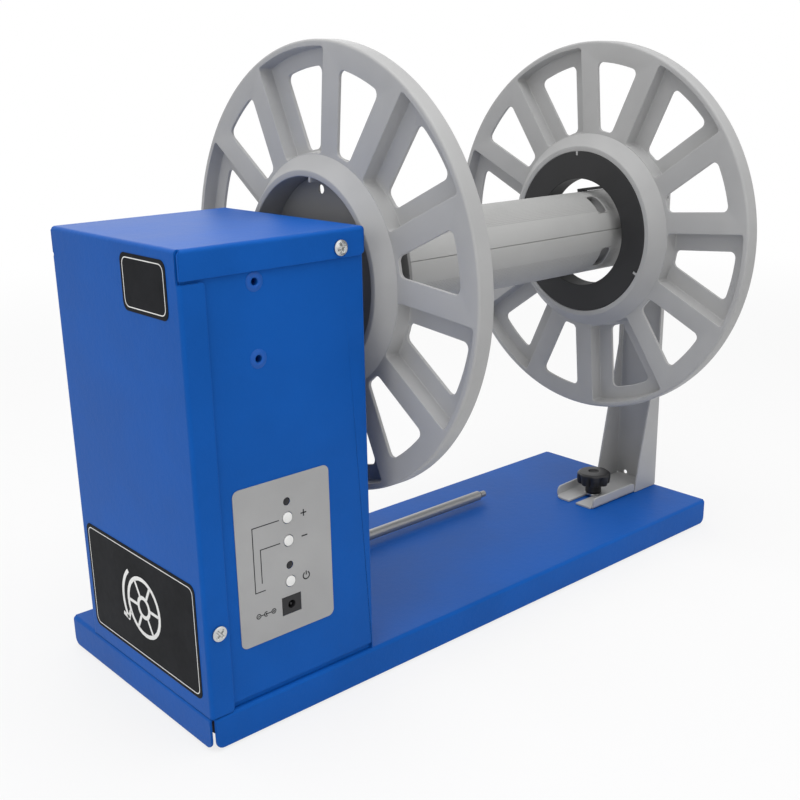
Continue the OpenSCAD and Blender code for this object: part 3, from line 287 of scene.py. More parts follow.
# Finishes
tones = {
    "blue": srgb(14, 80, 162),
    "blueSheen": (0.34, 0.72, 1.0),
    "flange": srgb(163, 163, 163),
    "hub": srgb(128, 128, 128),
    "tube": srgb(162, 162, 161),
    # grip: the end plug's own grey, and the painted shade colour of the sunk grips
    "grip": srgb(104, 104, 104),
    "pale": srgb(170, 170, 170),
    "panel": srgb(160, 160, 160),
    "black": srgb(34, 34, 36),
    "blackRing": srgb(44, 44, 45),
    "label": srgb(25, 26, 29),
    "steel": srgb(190, 190, 192),
    "rod": srgb(150, 150, 149),
    "zinc": srgb(196, 197, 196),
    "alloy": srgb(176, 177, 180),
    "bronze": srgb(170, 132, 72),
    "button": srgb(226, 226, 224),
    "ink": srgb(24, 24, 27),
}
reelAxis = (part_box("drive_shaft")[0].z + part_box("drive_shaft")[1].z) / 2
paint = {
    "blueCoat": powderCoat("Blue powder coat", tones["blue"], gloss=0.15, tint=tones["blueSheen"]),
    "blueGloss": powderCoat("Blue paint on rivets", tones["blue"], depth=0.00003, roughness=0.3, gloss=0.25),
    "paleCoat": powderCoat("Grey powder coat", tones["pale"], 900.0, 0.00005, 0.45, 0.3),
    "blackCoat": powderCoat("Black powder coat", tones["black"], 900.0, 0.00005, 0.45, 0.3),
    "flangeGrey": mouldedPlastic("Flange plastic", tones["flange"]),
    "hubGrey": mouldedPlastic("Hub plate plastic", tones["hub"]),
    "tubeGrey": knurledTube("Knurled tube plastic", tones["tube"], reelAxis, (81, -99)),
    "coreGrey": mouldedPlastic("Core tube plastic", tones["tube"]),
    "gripShadedGrey": depthShadedPlastic("Grip plastic with painted shade", tones["tube"], tones["grip"], reelAxis),
    "plugGrey": mouldedPlastic("Plug plastic", tones["grip"], 1200.0, 0.00006, 0.62),
    "ringBlack": mouldedPlastic("Black adapter plastic", tones["blackRing"], 900.0, 0.00006, 0.55, 0.12),
    "knobBlack": mouldedPlastic("Black knob plastic", tones["black"], 1400.0, 0.00003, 0.38, 0.1),
    "partBlack": mouldedPlastic("Black socket plastic", tones["black"], 1800.0, 0.00002, 0.42, 0.1),
    "buttonWhite": mouldedPlastic("Push button plastic", tones["button"], 2200.0, 0.00001, 0.32, 0.03, 90.0),
    "footRubber": rubber("Foot rubber", tones["black"]),
    "spiderRubber": rubber("Coupling rubber", srgb(150, 34, 30)),
    "zincPlate": metal("Zinc plated steel", tones["zinc"], 0.24, (900.0, 900.0, 900.0), 0.000006),
    "bracketSteel": metal("Bracket steel", tones["steel"], 0.36, (1200.0, 40.0, 1200.0)),
    "drawnSteel": metal("Polished shaft steel", tones["steel"], 0.2, (40.0, 2600.0, 2600.0), 0.000004),
    "satinSteel": metal("Satin rod steel", tones["rod"], 0.3, (40.0, 2600.0, 2600.0), 0.000004, 0.5),
    "castAlloy": metal("Cast alloy", tones["alloy"], 0.46, (500.0, 500.0, 500.0), 0.00004),
    "bronze": metal("Sintered bronze", tones["bronze"], 0.42, (900.0, 900.0, 900.0), 0.00001),
    "panelGrey": powderCoat("Printed panel film", tones["panel"], 1600.0, 0.000015, 0.5, 0.2),
    "boardGreen": circuitBoard("Circuit board"),
    "labelBlack": glossyLabel("Black label film", tones["label"]),
    "lens": mouldedPlastic("Indicator lens", srgb(30, 30, 34), 600.0, 0.000004, 0.12, 0.1),
    "ink": mouldedPlastic("Printing ink", tones["ink"], 2500.0, 0.000002, 0.55, 0.05),
    "inkPale": mouldedPlastic("Pale printing ink", tones["button"], 2500.0, 0.000002, 0.55, 0.05),
    "sensorGreen": mouldedPlastic("Sensor housing", srgb(38, 92, 60), 1400.0, 0.00002, 0.45),
}
print("finishes mixed:", len(paint))


# Mesh tools
def gridQuads(rows, columns, wrapRows=False, wrapColumns=False):
    # Corner numbers of the quads between neighbours in a rows x columns grid of points
    row = np.arange(rows if wrapRows else rows - 1)[:, None]
    column = np.arange(columns if wrapColumns else columns - 1)[None, :]
    nextRow = (row + 1) % rows
    nextColumn = (column + 1) % columns
    corners = [row * columns + column, row * columns + nextColumn, nextRow * columns + nextColumn,
               nextRow * columns + column]
    return np.stack([corner + 0 * (row + column) for corner in corners], -1).reshape(-1, 4)


def joined(parts):
    # Several (points, quads) surfaces as one
    points = np.concatenate([part[0].reshape(-1, 3) for part in parts])
    starts = np.cumsum([0] + [len(part[0].reshape(-1, 3)) for part in parts[:-1]])
    return points, np.concatenate([part[1] + start for part, start in zip(parts, starts)])


def weldedShell(mesh, weld=weldGap):
    # A mesh opened for edits, with its doubled corners welded
    shell = bmesh.new()
    shell.from_mesh(mesh)
    bmesh.ops.remove_doubles(shell, verts=shell.verts, dist=weld)
    return shell


def makePiece(name, surface, coat, body, stands=(), sharp=38.0, weld=weldGap):
    # A surface as a finished piece: doubles welded, faces turned outwards, sharp edges kept
    points, quads = surface
    points = np.ascontiguousarray(points.reshape(-1, 3), dtype=np.float32)
    mesh = bpy.data.meshes.new(name)
    mesh.vertices.add(len(points))
    mesh.vertices.foreach_set("co", points.ravel())
    mesh.loops.add(quads.size)
    mesh.polygons.add(len(quads))
    mesh.polygons.foreach_set("loop_start", np.arange(0, quads.size, 4, dtype=np.int32))
    mesh.loops.foreach_set("vertex_index", quads.ravel().astype(np.int32))
    mesh.update(calc_edges=True)
    shell = weldedShell(mesh, weld)
    bmesh.ops.dissolve_degenerate(shell, edges=shell.edges, dist=weld / 2)
    bmesh.ops.recalc_face_normals(shell, faces=shell.faces)
    shell.to_mesh(mesh)
    shell.free()
    return settle(name, mesh, coat, body, stands, sharp)


def settle(name, mesh, coat, body, stands, sharp):
    # Puts a mesh in the scene as a piece that rides on its body
    mesh.materials.clear()
    mesh.materials.append(paint[coat])
    mesh.shade_smooth()
    mesh.set_sharp_from_angle(angle=radians(sharp))
    piece = bpy.data.objects.new(name, mesh)
    bpy.context.scene.collection.objects.link(piece)
    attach(piece, body)
    if stands:
        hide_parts(*stands)
    return piece


def softCorners(corners, radii, rounds=5):
    # A profile whose corners are tangent arcs: each arc starts r / tan(half its angle) before its corner
    corners = [np.array(corner, float) for corner in corners]
    line = [corners[0]]
    for before, corner, after, radius in zip(corners, corners[1:], corners[2:], radii):
        if radius <= 0:
            line.append(corner)
            continue
        inWay = (before - corner) / np.linalg.norm(before - corner)
        outWay = (after - corner) / np.linalg.norm(after - corner)
        half = acos(np.clip(inWay @ outWay, -1, 1)) / 2
        middle = corner + (inWay + outWay) / np.linalg.norm(inWay + outWay) * radius / sin(half)
        start = corner + inWay * radius / tan(half) - middle
        end = corner + outWay * radius / tan(half) - middle
        sweep = pi - 2 * half
        for share in np.linspace(0, 1, rounds + 1):
            line.append(middle + (start * sin((1 - share) * sweep) + end * sin(share * sweep)) / sin(sweep))
    line.append(corners[-1])
    return np.array(line)


def turned(profile, steps, centre, spin=0.0, closed=True):
    # A profile of (x, radius) carried once round an axis parallel to X through centre = (y, z)
    angles = radians(spin) + np.linspace(0, 2 * pi, steps, endpoint=False)
    along, out = profile[:, 0], profile[:, 1]
    points = np.stack([
        np.broadcast_to(along, (steps, len(along))),
        centre[0] - np.sin(angles)[:, None] * out,
        centre[1] + np.cos(angles)[:, None] * out], -1)
    return points, gridQuads(steps, len(profile), wrapRows=True, wrapColumns=closed)


def placed(surface, origin, outward, up=(0, 0, 1)):
    # A surface made round +Z, moved to origin with its Z turned to outward
    outward = np.array(outward, float)
    side = np.cross(up, outward)
    side = side / np.linalg.norm(side)
    basis = np.stack([side, np.cross(outward, side), outward])
    points, quads = surface
    return points.reshape(-1, 3) @ basis + np.array(origin, float), quads


def softBox(low, high, radius, rounds=3):
    # A box with round edges: unit directions on a sphere, pushed out to eight corner centres
    low, high = np.array(low, float), np.array(high, float)
    tilt = np.concatenate([np.linspace(0, pi / 2, rounds + 1), np.linspace(pi / 2, pi, rounds + 1)])
    turn = np.concatenate([np.linspace(k * pi / 2, (k + 1) * pi / 2, rounds + 1) for k in range(4)])
    tiltSign = np.repeat([1, -1], rounds + 1)
    xSign = np.repeat([1, -1, -1, 1], rounds + 1)
    ySign = np.repeat([1, 1, -1, -1], rounds + 1)
    way = np.stack([np.sin(tilt)[:, None] * np.cos(turn), np.sin(tilt)[:, None] * np.sin(turn),
                    np.cos(tilt)[:, None] * np.ones_like(turn)], -1)
    sign = np.stack([np.broadcast_to(xSign, way.shape[:2]), np.broadcast_to(ySign, way.shape[:2]),
                     np.broadcast_to(tiltSign[:, None], way.shape[:2])], -1)
    middle, half = (low + high) / 2, (high - low) / 2
    points = middle + sign * (half - radius) + way * radius
    caps = [(np.stack([ring, 0 * ring + ring.mean(0)]), gridQuads(2, len(turn), wrapColumns=True))
            for ring in (points[0], points[-1])]
    return joined([(points, gridQuads(len(tilt), len(turn), wrapColumns=True)), *caps])


def brokenEdges(piece, width, rounds, limit):
    # Rolls the edges of a piece over, and keeps its flat faces level up to them
    bevel = piece.modifiers.new("Broken edges", "BEVEL")
    bevel.width = width * mm
    bevel.segments = rounds
    bevel.limit_method = limit
    bevel.angle_limit = radians(40)
    bevel.use_clamp_overlap = False
    bevel.loop_slide = False
    level = piece.modifiers.new("Level faces", "WEIGHTED_NORMAL")
    level.weight = 100
    level.keep_sharp = True


def plainFaces(shell, cuts):
    # Flat faces without stray lines: cut square through the holes, then freed of slanting lines
    level = radians(0.25)
    bmesh.ops.dissolve_limit(shell, angle_limit=level, verts=shell.verts, edges=shell.edges)
    for axis, place in cuts:
        origin, way = Vector((0, 0, 0)), Vector((0, 0, 0))
        origin[axis], way[axis] = place, 1
        bmesh.ops.bisect_plane(shell, geom=shell.verts[:] + shell.edges[:] + shell.faces[:], dist=1e-6,
                               plane_co=origin, plane_no=way)
    slanting = []
    for line in shell.edges:
        way = [abs(share) for share in (line.verts[0].co - line.verts[1].co).normalized()]
        if len(line.link_faces) == 2 and line.calc_face_angle(1.0) < level and max(way) < 0.99999:
            slanting.append(line)
    bmesh.ops.dissolve_edges(shell, edges=slanting, use_verts=False, use_face_split=False)


def faceReach(line, face):
    # How far a face goes away from one of its edges
    start, way = line.verts[0].co, (line.verts[1].co - line.verts[0].co).normalized()
    return max(((corner.co - start) - way * (corner.co - start).dot(way)).length for corner in face.verts)


def dressed(node, coat, body, edge=0.3, rounds=2, bend=0.0, bends=(), sharp=30.0, cuts=()):
    # A copy of a node with its triangles merged into faces, its edges broken and its bends rolled.
    # A bend is a pair of planes, each an axis and a place, and the edge where they meet is rolled
    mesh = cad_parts[node].data.copy()
    shell = weldedShell(mesh)
    plainFaces(shell, cuts)
    bmesh.ops.recalc_face_normals(shell, faces=shell.faces)
    layers = shell.edges.layers.float
    weights = layers.get("bevel_weight_edge") or layers.new("bevel_weight_edge")
    widest = max(edge, bend)
    for line in shell.edges:
        if line.calc_face_angle(0.0) < radians(sharp):
            continue
        ends = [corner.co for corner in line.verts]
        rolled = any(all(abs(end[first] - at) < 2e-5 and abs(end[second] - beside) < 2e-5 for end in ends)
                     for (first, at), (second, beside) in bends)
        rolled = rolled and min(faceReach(line, face) for face in line.link_faces) > 2 * bend * mm
        line[weights] = (bend if rolled else edge) / widest
    shell.to_mesh(mesh)
    shell.free()
    piece = settle(node + "Dressed", mesh, coat, body, (node,), 180.0)
    brokenEdges(piece, widest, rounds, "WEIGHT")
    return piece


# Flanges
flange = {
    "rim": 175.0, "hubHole": 76.2, "hubLip": 81.0, "shoulder": 92.0,
    "boss": 12.2, "web": 27.2, "plate": 3.0, "cellIn": 92.3, "cellOut": 172.4, "cellBackIn": 79.8,
    "pocketIn": 92.8, "pocketOut": 170.0, "backPocketIn": 81.0, "backPocketOut": 171.0,
    "draft": 5.0, "fillet": 1.3, "edge": 0.45, "pocketCorner": 3.0,
    "windowIn": 95.5, "windowOut": 156.5, "spokeHalf": 17.75, "windowCorner": 5.0, "windowEdge": 0.7,
    "rimRound": 2.0, "fields": 12, "arcSteps": 16,
    "nibs": 3, "nibHigh": 3.8, "nibWide": 2.5, "nibRoot": 1.5, "nibInset": 0.3, "nibRound": 0.35,
}


def compass(turns):
    # Unit ways on a wedge's flat: turn 0 lies along its second axis and a quarter turn along its first
    return np.stack([np.sin(turns), np.cos(turns)], -1)


def wedgeLine(inner, outer, inset, corner, arc=8, side=10, rounds=5):
    # Closed line round a 30 degree sector: two sides moved inwards by inset and joined to the inner and
    # outer circle by corners of one radius. A corner's centre lies inset + corner from its side
    half = pi / flange["fields"]
    inward = np.array([-cos(half), sin(half)])
    edgeWay = np.array([sin(half), cos(half)])
    off = inset + corner
    centres = [edgeWay * sqrt(ring ** 2 - off ** 2) + inward * off
               for ring in (outer - corner, inner + corner)]
    turnOut, turnIn = (atan2(*centre) for centre in centres)
    outerArc = outer * compass(np.linspace(0, turnOut, arc + 1))
    outerCorner = centres[0] + corner * compass(np.linspace(turnOut, pi / 2 + half, rounds + 1))
    share = np.linspace(0, 1, side + 1)[:, None]
    sideLine = centres[0] + (centres[1] - centres[0]) * share - inward * corner
    innerCorner = centres[1] + corner * compass(np.linspace(pi / 2 + half, pi + turnIn, rounds + 1))
    innerArc = inner * compass(np.linspace(turnIn, 0, arc + 1))
    right = np.concatenate([outerArc, outerCorner, sideLine, innerCorner, innerArc])
    left = right[-2:0:-1] * [-1, 1]
    return np.concatenate([right, left])


def pocketWall():
    # Steps of a pocket wall from its rolled edge to its filleted floor: (amount moved in, depth)
    f = flange
    deep = f["web"] - f["boss"] - f["plate"]
    lean = deep * tan(radians(f["draft"]))
    turns = np.radians([0, 30, 60, 90])
    top = [(f["edge"] * (sin(turn) - 1), f["edge"] * (1 - cos(turn))) for turn in turns]
    foot = [(lean + f["fillet"] * (1 - cos(turn)), deep - f["fillet"] * (1 - sin(turn))) for turn in turns]
    return top + foot


def cellRing(base, amount, x):
    # The closed line of a sector, moved inwards by an amount, and its X
    inner, outer, inset, corner = base
    corner = max(corner - amount, 0.05) if corner else 0.0
    return wedgeLine(inner + amount, outer - amount, inset + amount, corner), x


def fieldSurface(recessed):
    # One of the twelve fields as a loft of closed lines: front face, pocket if it has one, window, back face
    f = flange
    front, back, size = f["boss"], f["web"], f["windowEdge"]
    top, bottom = (back - f["plate"], back) if recessed else (front, front + f["plate"])
    pocket = (f["pocketIn"], f["pocketOut"]) if recessed else (f["backPocketIn"], f["backPocketOut"])
    pocket = (*pocket, f["plate"] / 2, f["pocketCorner"])
    window = (f["windowIn"], f["windowOut"], f["spokeHalf"], f["windowCorner"])
    rolls = [(size * (sin(turn) - 1), size * (1 - cos(turn))) for turn in np.radians([0, 30, 60, 90])]
    lines = [cellRing((f["cellIn"], f["cellOut"], 0.0, 0.0), 0.0, front)]
    if recessed:
        lines += [cellRing(pocket, amount, front + x) for amount, x in pocketWall()]
    lines += [cellRing(window, amount, top + x) for amount, x in rolls]
    lines += [cellRing(window, amount, bottom - x) for amount, x in reversed(rolls)]
    if not recessed:
        lines += [cellRing(pocket, amount, back - x) for amount, x in reversed(pocketWall())]
    lines.append(cellRing((f["cellBackIn"], f["cellOut"], 0.0, 0.0), 0.0, back))
    flat = np.stack([line for line, x in lines])
    heights = np.array([x for line, x in lines])[:, None] * np.ones(flat.shape[1])
    points = np.stack([heights, flat[..., 0], flat[..., 1]], -1)
    return points, gridQuads(*points.shape[:2], wrapColumns=True)


def spun(surface, turn):
    # A surface turned about the X axis
    turn = radians(turn)
    points, quads = surface
    x, y, z = points.reshape(-1, 3).T
    return np.stack([x, y * cos(turn) - z * sin(turn), y * sin(turn) + z * cos(turn)], -1), quads


def makeFlange(name, node, body, turn):
    f = flange
    cell = 360 / f["fields"]
    fields = [spun(fieldSurface(number % 2 == 1), (number + 0.5) * cell + turn)
              for number in range(f["fields"])]
    steps = f["fields"] * f["arcSteps"]
    front, back = f["boss"], f["web"]
    rimLine = softCorners([(front, f["cellOut"]), (front, f["rim"]), (back, f["rim"]), (back, f["cellOut"])],
                          [f["rimRound"], f["rimRound"]], 5)
    hubLine = softCorners([(front, f["cellIn"]), (front, f["shoulder"]), (0, f["hubLip"]), (0, f["hubHole"]),
                           (back, f["hubHole"]), (back, f["cellBackIn"])], [0.25, 1.6, 0.9, 0.6], 4)
    rim = turned(rimLine, steps, (0, 0), turn, closed=False)
    hub = turned(hubLine, steps, (0, 0), turn, closed=False)
    nib = softBox((f["nibInset"], -f["nibWide"] / 2, f["hubHole"] - f["nibHigh"]),
                  (back - f["nibInset"], f["nibWide"] / 2, f["hubHole"] + f["nibRoot"]), f["nibRound"])
    nibs = [spun(nib, turn + number * 360 / f["nibs"]) for number in range(f["nibs"])]
    points, quads = joined([*fields, rim, hub, *nibs])
    points = points * mm + np.array([nodeBox(node)[0][0], 0, reelAxis])
    return makePiece(name, (points, quads), "flangeGrey", body, (node,), 26.0, 1.5e-5)


makeFlange("innerFlangeBody", "inner_flange", "reel", 5.4)
makeFlange("outerFlangeBody", "outer_flange", "outer_flange_set", -4.35)
print("flanges made")


# Bent sheet parts
sheet = {"thick": 2.0, "bend": 3.0, "edge": 0.35, "rounds": 7,
         "lip": 20.0, "lipCorner": 4.0, "lipGap": 1.8, "lipReach": 2.2, "wrap": 19.0, "wrapCorner": 3.0,
         "baseDeep": 25.0, "baseCorner": 6.0, "wallRow": 9.0, "reachFade": 9.0, "reachRow": 14.0}


def ticks(start, end, corner, more=()):
    # Places along an edge: close together over the quarter circles at both ends, like 1 - cos
    share = corner * (1 - np.cos(np.linspace(0, pi / 2, 6)))
    return np.unique(np.round(np.concatenate([start + share, end - share, (start + end) / 2 + 0 * share[:1],
                                              more]), 5))


def roundedDepth(places, depth, first, last):
    # How far a flap reaches at each place along it: its two free corners are quarter circles
    for radius, away in ((first, places - places[0]), (last, places[-1] - places)):
        depth = depth - radius + np.sqrt(radius ** 2 - np.clip(radius - away, 0, radius) ** 2)
    return depth


def flap(roots, flat, down, depths):
    # A flap folded off a sheet: each root point goes on round a quarter circle of the bend's radius,
    # from the way flat to the way down, and then straight to its depths under the sheet's face
    flat, down = np.array(flat, float), np.array(down, float)
    turn = np.linspace(0, pi / 2, sheet["rounds"])[:, None]
    bend = roots[:, None] + sheet["bend"] * (flat * np.sin(turn) + down * (1 - np.cos(turn)))
    straight = roots[:, None] + flat * sheet["bend"] + down * depths[..., None]
    points = np.concatenate([bend, straight], 1)
    return points, gridQuads(*points.shape[:2])


def evenDepths(places, depth, first, last):
    share = np.array([0.35, 0.7, 1.0])
    return sheet["bend"] + share * (roundedDepth(places, depth, first, last)[:, None] - sheet["bend"])


def lineOf(places, axis, *rest):
    # Points with the given places on one axis and fixed values on the others
    points = np.empty((len(places), 3))
    others = [number for number in range(3) if number != axis]
    points[:, axis] = places
    for number, value in zip(others, rest):
        points[:, number] = value
    return points


def foldedSheet(name, parts, coat, body, stands, outward=(0, 0, 1)):
    # The outer faces of a folded sheet, welded and given their thickness inwards and broken edges
    points, quads = joined(parts)
    piece = makePiece(name, (points * mm, quads), coat, body, stands, 180.0, 2e-5)
    shell = bmesh.new()
    shell.from_mesh(piece.data)
    way = Vector(outward)
    furthest = max(shell.faces, key=lambda face: face.calc_center_median().dot(way))
    if furthest.normal.dot(way) < 0:
        bmesh.ops.reverse_faces(shell, faces=shell.faces)
    shell.to_mesh(piece.data)
    shell.free()
    wall = piece.modifiers.new("Sheet thickness", "SOLIDIFY")
    wall.thickness = sheet["thick"] * mm
    wall.offset = -1.0
    wall.use_even_offset = True
    brokenEdges(piece, sheet["edge"], 2, "ANGLE")
    return piece


def foldedTop(low, high, alongCorner, acrossCorner, more=()):
    # The flat face between the bends, and its places along X and Y
    along = ticks(low[0] + sheet["bend"], high[0] - sheet["bend"], alongCorner, more)
    across = ticks(low[1] + sheet["bend"], high[1] - sheet["bend"], acrossCorner)
    points = np.stack([along[:, None] + 0 * across, across + 0 * along[:, None],
                       np.full((len(along), len(across)), high[2])], -1)
    return (points, gridQuads(*points.shape[:2])), along, across


def makeBase():
    s = sheet
    low, high = (corner / mm for corner in nodeBox("base_plate"))
    top, along, across = foldedTop(low, high, s["baseCorner"], s["baseCorner"])
    corner, deep = s["baseCorner"], s["baseDeep"]
    parts = [top]
    for y, way in ((low[1] + s["bend"], -1), (high[1] - s["bend"], 1)):
        parts.append(flap(lineOf(along, 0, y, high[2]), (0, way, 0), (0, 0, -1),
                          evenDepths(along, deep, corner, corner)))
    for x, way in ((low[0] + s["bend"], -1), (high[0] - s["bend"], 1)):
        parts.append(flap(lineOf(across, 1, x, high[2]), (way, 0, 0), (0, 0, -1),
                          evenDepths(across, deep, corner, corner)))
    return foldedSheet("basePan", parts, "blueCoat", "frame", ("base_plate",))


def makeCover():
    # Top with a lip on three sides and the tall end wall on the fourth; the wall has two wraps, which
    # end a gap under the lips, and the lips reach past their bends over the wall's edges
    s = sheet
    low, high = (corner / mm for corner in nodeBox("cover"))
    top, along, across = foldedTop(low, high, s["lipCorner"], s["wrapCorner"], (low[0] + s["reachRow"],))
    upward = ticks(low[2], high[2] - s["lip"] - s["lipGap"], s["wrapCorner"])
    wall = np.concatenate([[s["wallRow"]], high[2] - upward[::-1]]) + 0 * across[:, None]
    parts = [top, flap(lineOf(across, 1, low[0] + s["bend"], high[2]), (-1, 0, 0), (0, 0, -1), wall),
             flap(lineOf(across, 1, high[0] - s["bend"], high[2]), (1, 0, 0), (0, 0, -1),
                  evenDepths(across, s["lip"], s["wrapCorner"], s["wrapCorner"]))]
    for y, way in ((low[1] + s["bend"], -1), (high[1] - s["bend"], 1)):
        points, quads = flap(lineOf(along, 0, y, high[2]), (0, way, 0), (0, 0, -1),
                             evenDepths(along, s["lip"], 1.0, s["lipCorner"]))
        reach = np.clip((high[2] - points[..., 2]) / s["bend"], 0, 1) * s["lipReach"]
        points[..., 0] -= reach * np.clip(1 - (along - along[0]) / s["reachFade"], 0, 1)[:, None]
        parts.append((points, quads))
        parts.append(flap(lineOf(upward, 2, low[0], y), (0, way, 0), (1, 0, 0),
                          evenDepths(upward, s["wrap"], s["wrapCorner"], s["wrapCorner"])))
    return foldedSheet("coverHood", parts, "blueCoat", "frame", ("cover",))


upright = {
    "deep": 38.0, "slim": 7.0, "head": 16.0, "slimFrom": 177.0, "slimTo": 282.0, "headFrom": 289.0,
    "stud": 228.0, "fork": 4.5, "nearCorner": 4.0, "farCorner": 12.0,
    "lipFrom": 264.2, "lipTo": 196.5, "lipHigh": 11.0, "lipCorner": 4.0, "farLipCorner": 7.0,
    "bushing": 9.0, "webHole": (13.5, 31.0, 2.5), "headHole": (295.5, 335.0, 2.25),
    "columns": (-16.0, 18.0, 20.0, 21.8), "webRow": 60.0, "footRow": 282.0, "ease": 12.0,
}


def roundHole(first, second, centre, radius):
    # Draws a square of grid points onto a circle: a point's larger distance on either axis from the
    # centre becomes its radius
    across, up = first - centre[0], second - centre[1]
    size, reach = np.maximum(abs(across), abs(up)), np.hypot(across, up)
    share = np.where(size < radius + 1e-6, size / np.maximum(reach, 1e-9), 1.0)
    return centre[0] + across * share, centre[1] + up * share, size < radius + 1e-6


def makeUpright():
    # One band runs down the web, round the bend and along the foot. Its places are y and s, the way along
    # the sheet from the bend's start; side flanges are folded off the web and lips off the foot
    u, r = upright, sheet["bend"]
    low, high = (corner / mm for corner in nodeBox("upright"))
    end, foot, half = high[0], low[2], high[1]
    bendLong, start = r * pi / 2, foot + r

    def fromX(x):
        return bendLong + end - r - x

    steps = np.arange(-2, 3) / 2
    web = [high[2], *(reelAxis / mm + u["bushing"] * steps), u["headFrom"], u["slimTo"], u["slimFrom"],
           u["webRow"],
           *(u["headHole"][1] + u["headHole"][2] * steps), u["webHole"][1] + 3.0, start + 0.01]
    hole = start - u["webHole"][1]
    lipRows = ticks(u["lipTo"], u["lipFrom"], u["lipCorner"], u["stud"] + u["fork"] * steps[2:])
    s = np.unique(np.round(np.concatenate([
        start - np.array(web), hole + u["webHole"][2] * steps, bendLong * np.linspace(0, 1, 8),
        fromX(lipRows), fromX(np.array([low[0], u["footRow"]]))]), 4))
    y = np.unique(np.concatenate([[r - half, half - r, *u["columns"]], u["bushing"] * steps,
                                  u["fork"] * steps, u["webHole"][0] + u["webHole"][2] * steps]))
    s, y = s[:, None] + 0 * y, y + 0 * s[:, None]
    quads = gridQuads(*s.shape)
    gone = np.zeros(len(quads), bool)
    for centre, radius in (((0, start - reelAxis / mm), u["bushing"]),
                           ((u["webHole"][0], hole), u["webHole"][2])):
        y, s, inside = roundHole(y, s, centre, radius)
        gone |= inside.ravel()[quads].all(1)
    stud, front = fromX(u["stud"]), fromX(low[0])
    slot = (abs(y) < u["fork"] + 1e-6) & (s > stud - u["fork"] - 1e-6)
    gone |= slot.ravel()[quads].all(1)
    roundY, roundS, inside = roundHole(y, s, (0, stud), u["fork"])
    y, s = np.where(s < stud, roundY, y), np.where(s < stud, roundS, s)
    corner = np.where(y < 0, u["nearCorner"], u["farCorner"])
    short = corner - np.sqrt(corner ** 2 - np.clip(corner - (half - abs(y)), 0, None) ** 2)
    lipEnds = s[:, 0].copy()
    s = np.where(s > stud, stud + (s - stud) * (front - short - stud) / (front - stud), s)
    turn = np.clip(s, 0, bendLong) / r
    band = np.stack([end - r * (1 - np.cos(turn)) - np.clip(s - bendLong, 0, None), y,
                     foot + r * (1 - np.sin(turn)) + np.clip(-s, 0, None)], -1)
    parts = [(band, quads[~gone])]
    shares = (end - u["headHole"][0] + u["headHole"][2] * steps - r) / (u["head"] - r)
    rows = lipEnds <= 1e-6
    lips = (lipEnds > fromX(u["lipFrom"]) - 1e-3) & (lipEnds < fromX(u["lipTo"]) + 1e-3)
    for side, way, lipCorner in ((0, -1, u["lipCorner"]), (-1, 1, u["farLipCorner"])):
        roots = band[rows, side]
        deep = np.interp(roots[:, 2], [foot, u["slimFrom"], u["slimTo"], u["headFrom"], high[2]],
                         [u["deep"], u["slim"], u["slim"], u["head"], u["head"]])
        points, quads = flap(roots, (0, way, 0), (-1, 0, 0),
                             r + np.concatenate([shares, [0.75, 1.0]]) * (deep - r)[:, None])
        if way < 0:
            x, z, inside = roundHole(points[..., 0], points[..., 2], u["headHole"][:2], u["headHole"][2])
            points[..., 0], points[..., 2] = x, z
            quads = quads[~inside.ravel()[quads].all(1)]
        ease = np.clip(1 - (roots[:, 2] - start) / u["ease"], 0, 1)[:, None]
        points[..., 2] -= np.clip((end - points[..., 0]) / r, 0, 1) * ease * (r - 0.1)
        parts.append((points, quads))
        roots = band[lips, side]
        parts.append(flap(roots, (0, way, 0), (0, 0, 1),
                          evenDepths(-roots[:, 0], u["lipHigh"], u["lipCorner"], lipCorner)))
    return foldedSheet("uprightSheet", parts, "paleCoat", "upright", ("upright",), (1, 0, 0))


screwSizes = {"cover": (5.6, 2.4, 2.0, 10.0), "chassis": (4.0, 2.5, 2.0, 8.0),
              "motor": (3.5, 2.2, 2.0, 10.0), "block": (3.5, 2.2, 2.0, 14.0), "hub": (3.5, 2.0, 2.0, 10.0)}
rivet = {"head": 7.0, "high": 1.0, "bore": 2.6, "shank": 3.6, "length": 8.0, "lip": 3.5, "dome": 4.8,
         "brim": 6.5}
button = {"radius": 4.0, "crown": 0.25, "edge": 0.5}
walls = {"edge": 0.3, "bend": 1.8, "skirtFrom": -299.8, "skirtTo": -152.4, "skirtIn": 83.75,
         "skirtOut": 85.25, "skirtLow": 27.05, "skirtHigh": 33.0, "skirtRound": 0.3}


def makeChassis():
    # The two walls, cut square through the middles of their holes, and a thin skirt inside each lower edge
    w = walls
    wallX, wallY = nodeBox("chassis")[1][:2]
    middles = (("button_1", 0, button["radius"]), ("cover_screws", 0, screwSizes["cover"][0]),
               ("cover_screws", 1, -screwSizes["cover"][0]), ("bracket_rivets", 0, rivet["head"]))
    cuts = [(0, nodeBox(node)[corner][0] + shift * mm) for node, corner, shift in middles]
    cuts += [(1, 0.0), (1, sum(nodeBox("pivot_shaft"))[1] / 2)]
    dressed("chassis", "blueCoat", "frame", w["edge"], 4, w["bend"],
            [((0, wallX), (1, -wallY)), ((0, wallX), (1, wallY))], cuts=cuts)
    skirts = []
    for near, far in ((-w["skirtOut"], -w["skirtIn"]), (w["skirtIn"], w["skirtOut"])):
        points, quads = softBox((w["skirtFrom"], near, w["skirtLow"]), (w["skirtTo"], far, w["skirtHigh"]),
                                w["skirtRound"])
        skirts.append((points * mm, quads))
    makePiece("chassisSkirts", joined(skirts), "blueCoat", "frame")


makeBase()
makeCover()
makeUpright()
makeChassis()
print("sheet parts bent: 4")


# Screws and rivets
recess = {"arm": 0.165, "armEdge": 0.05, "reach": 0.7, "reachEdge": 0.07, "deep": 0.85}


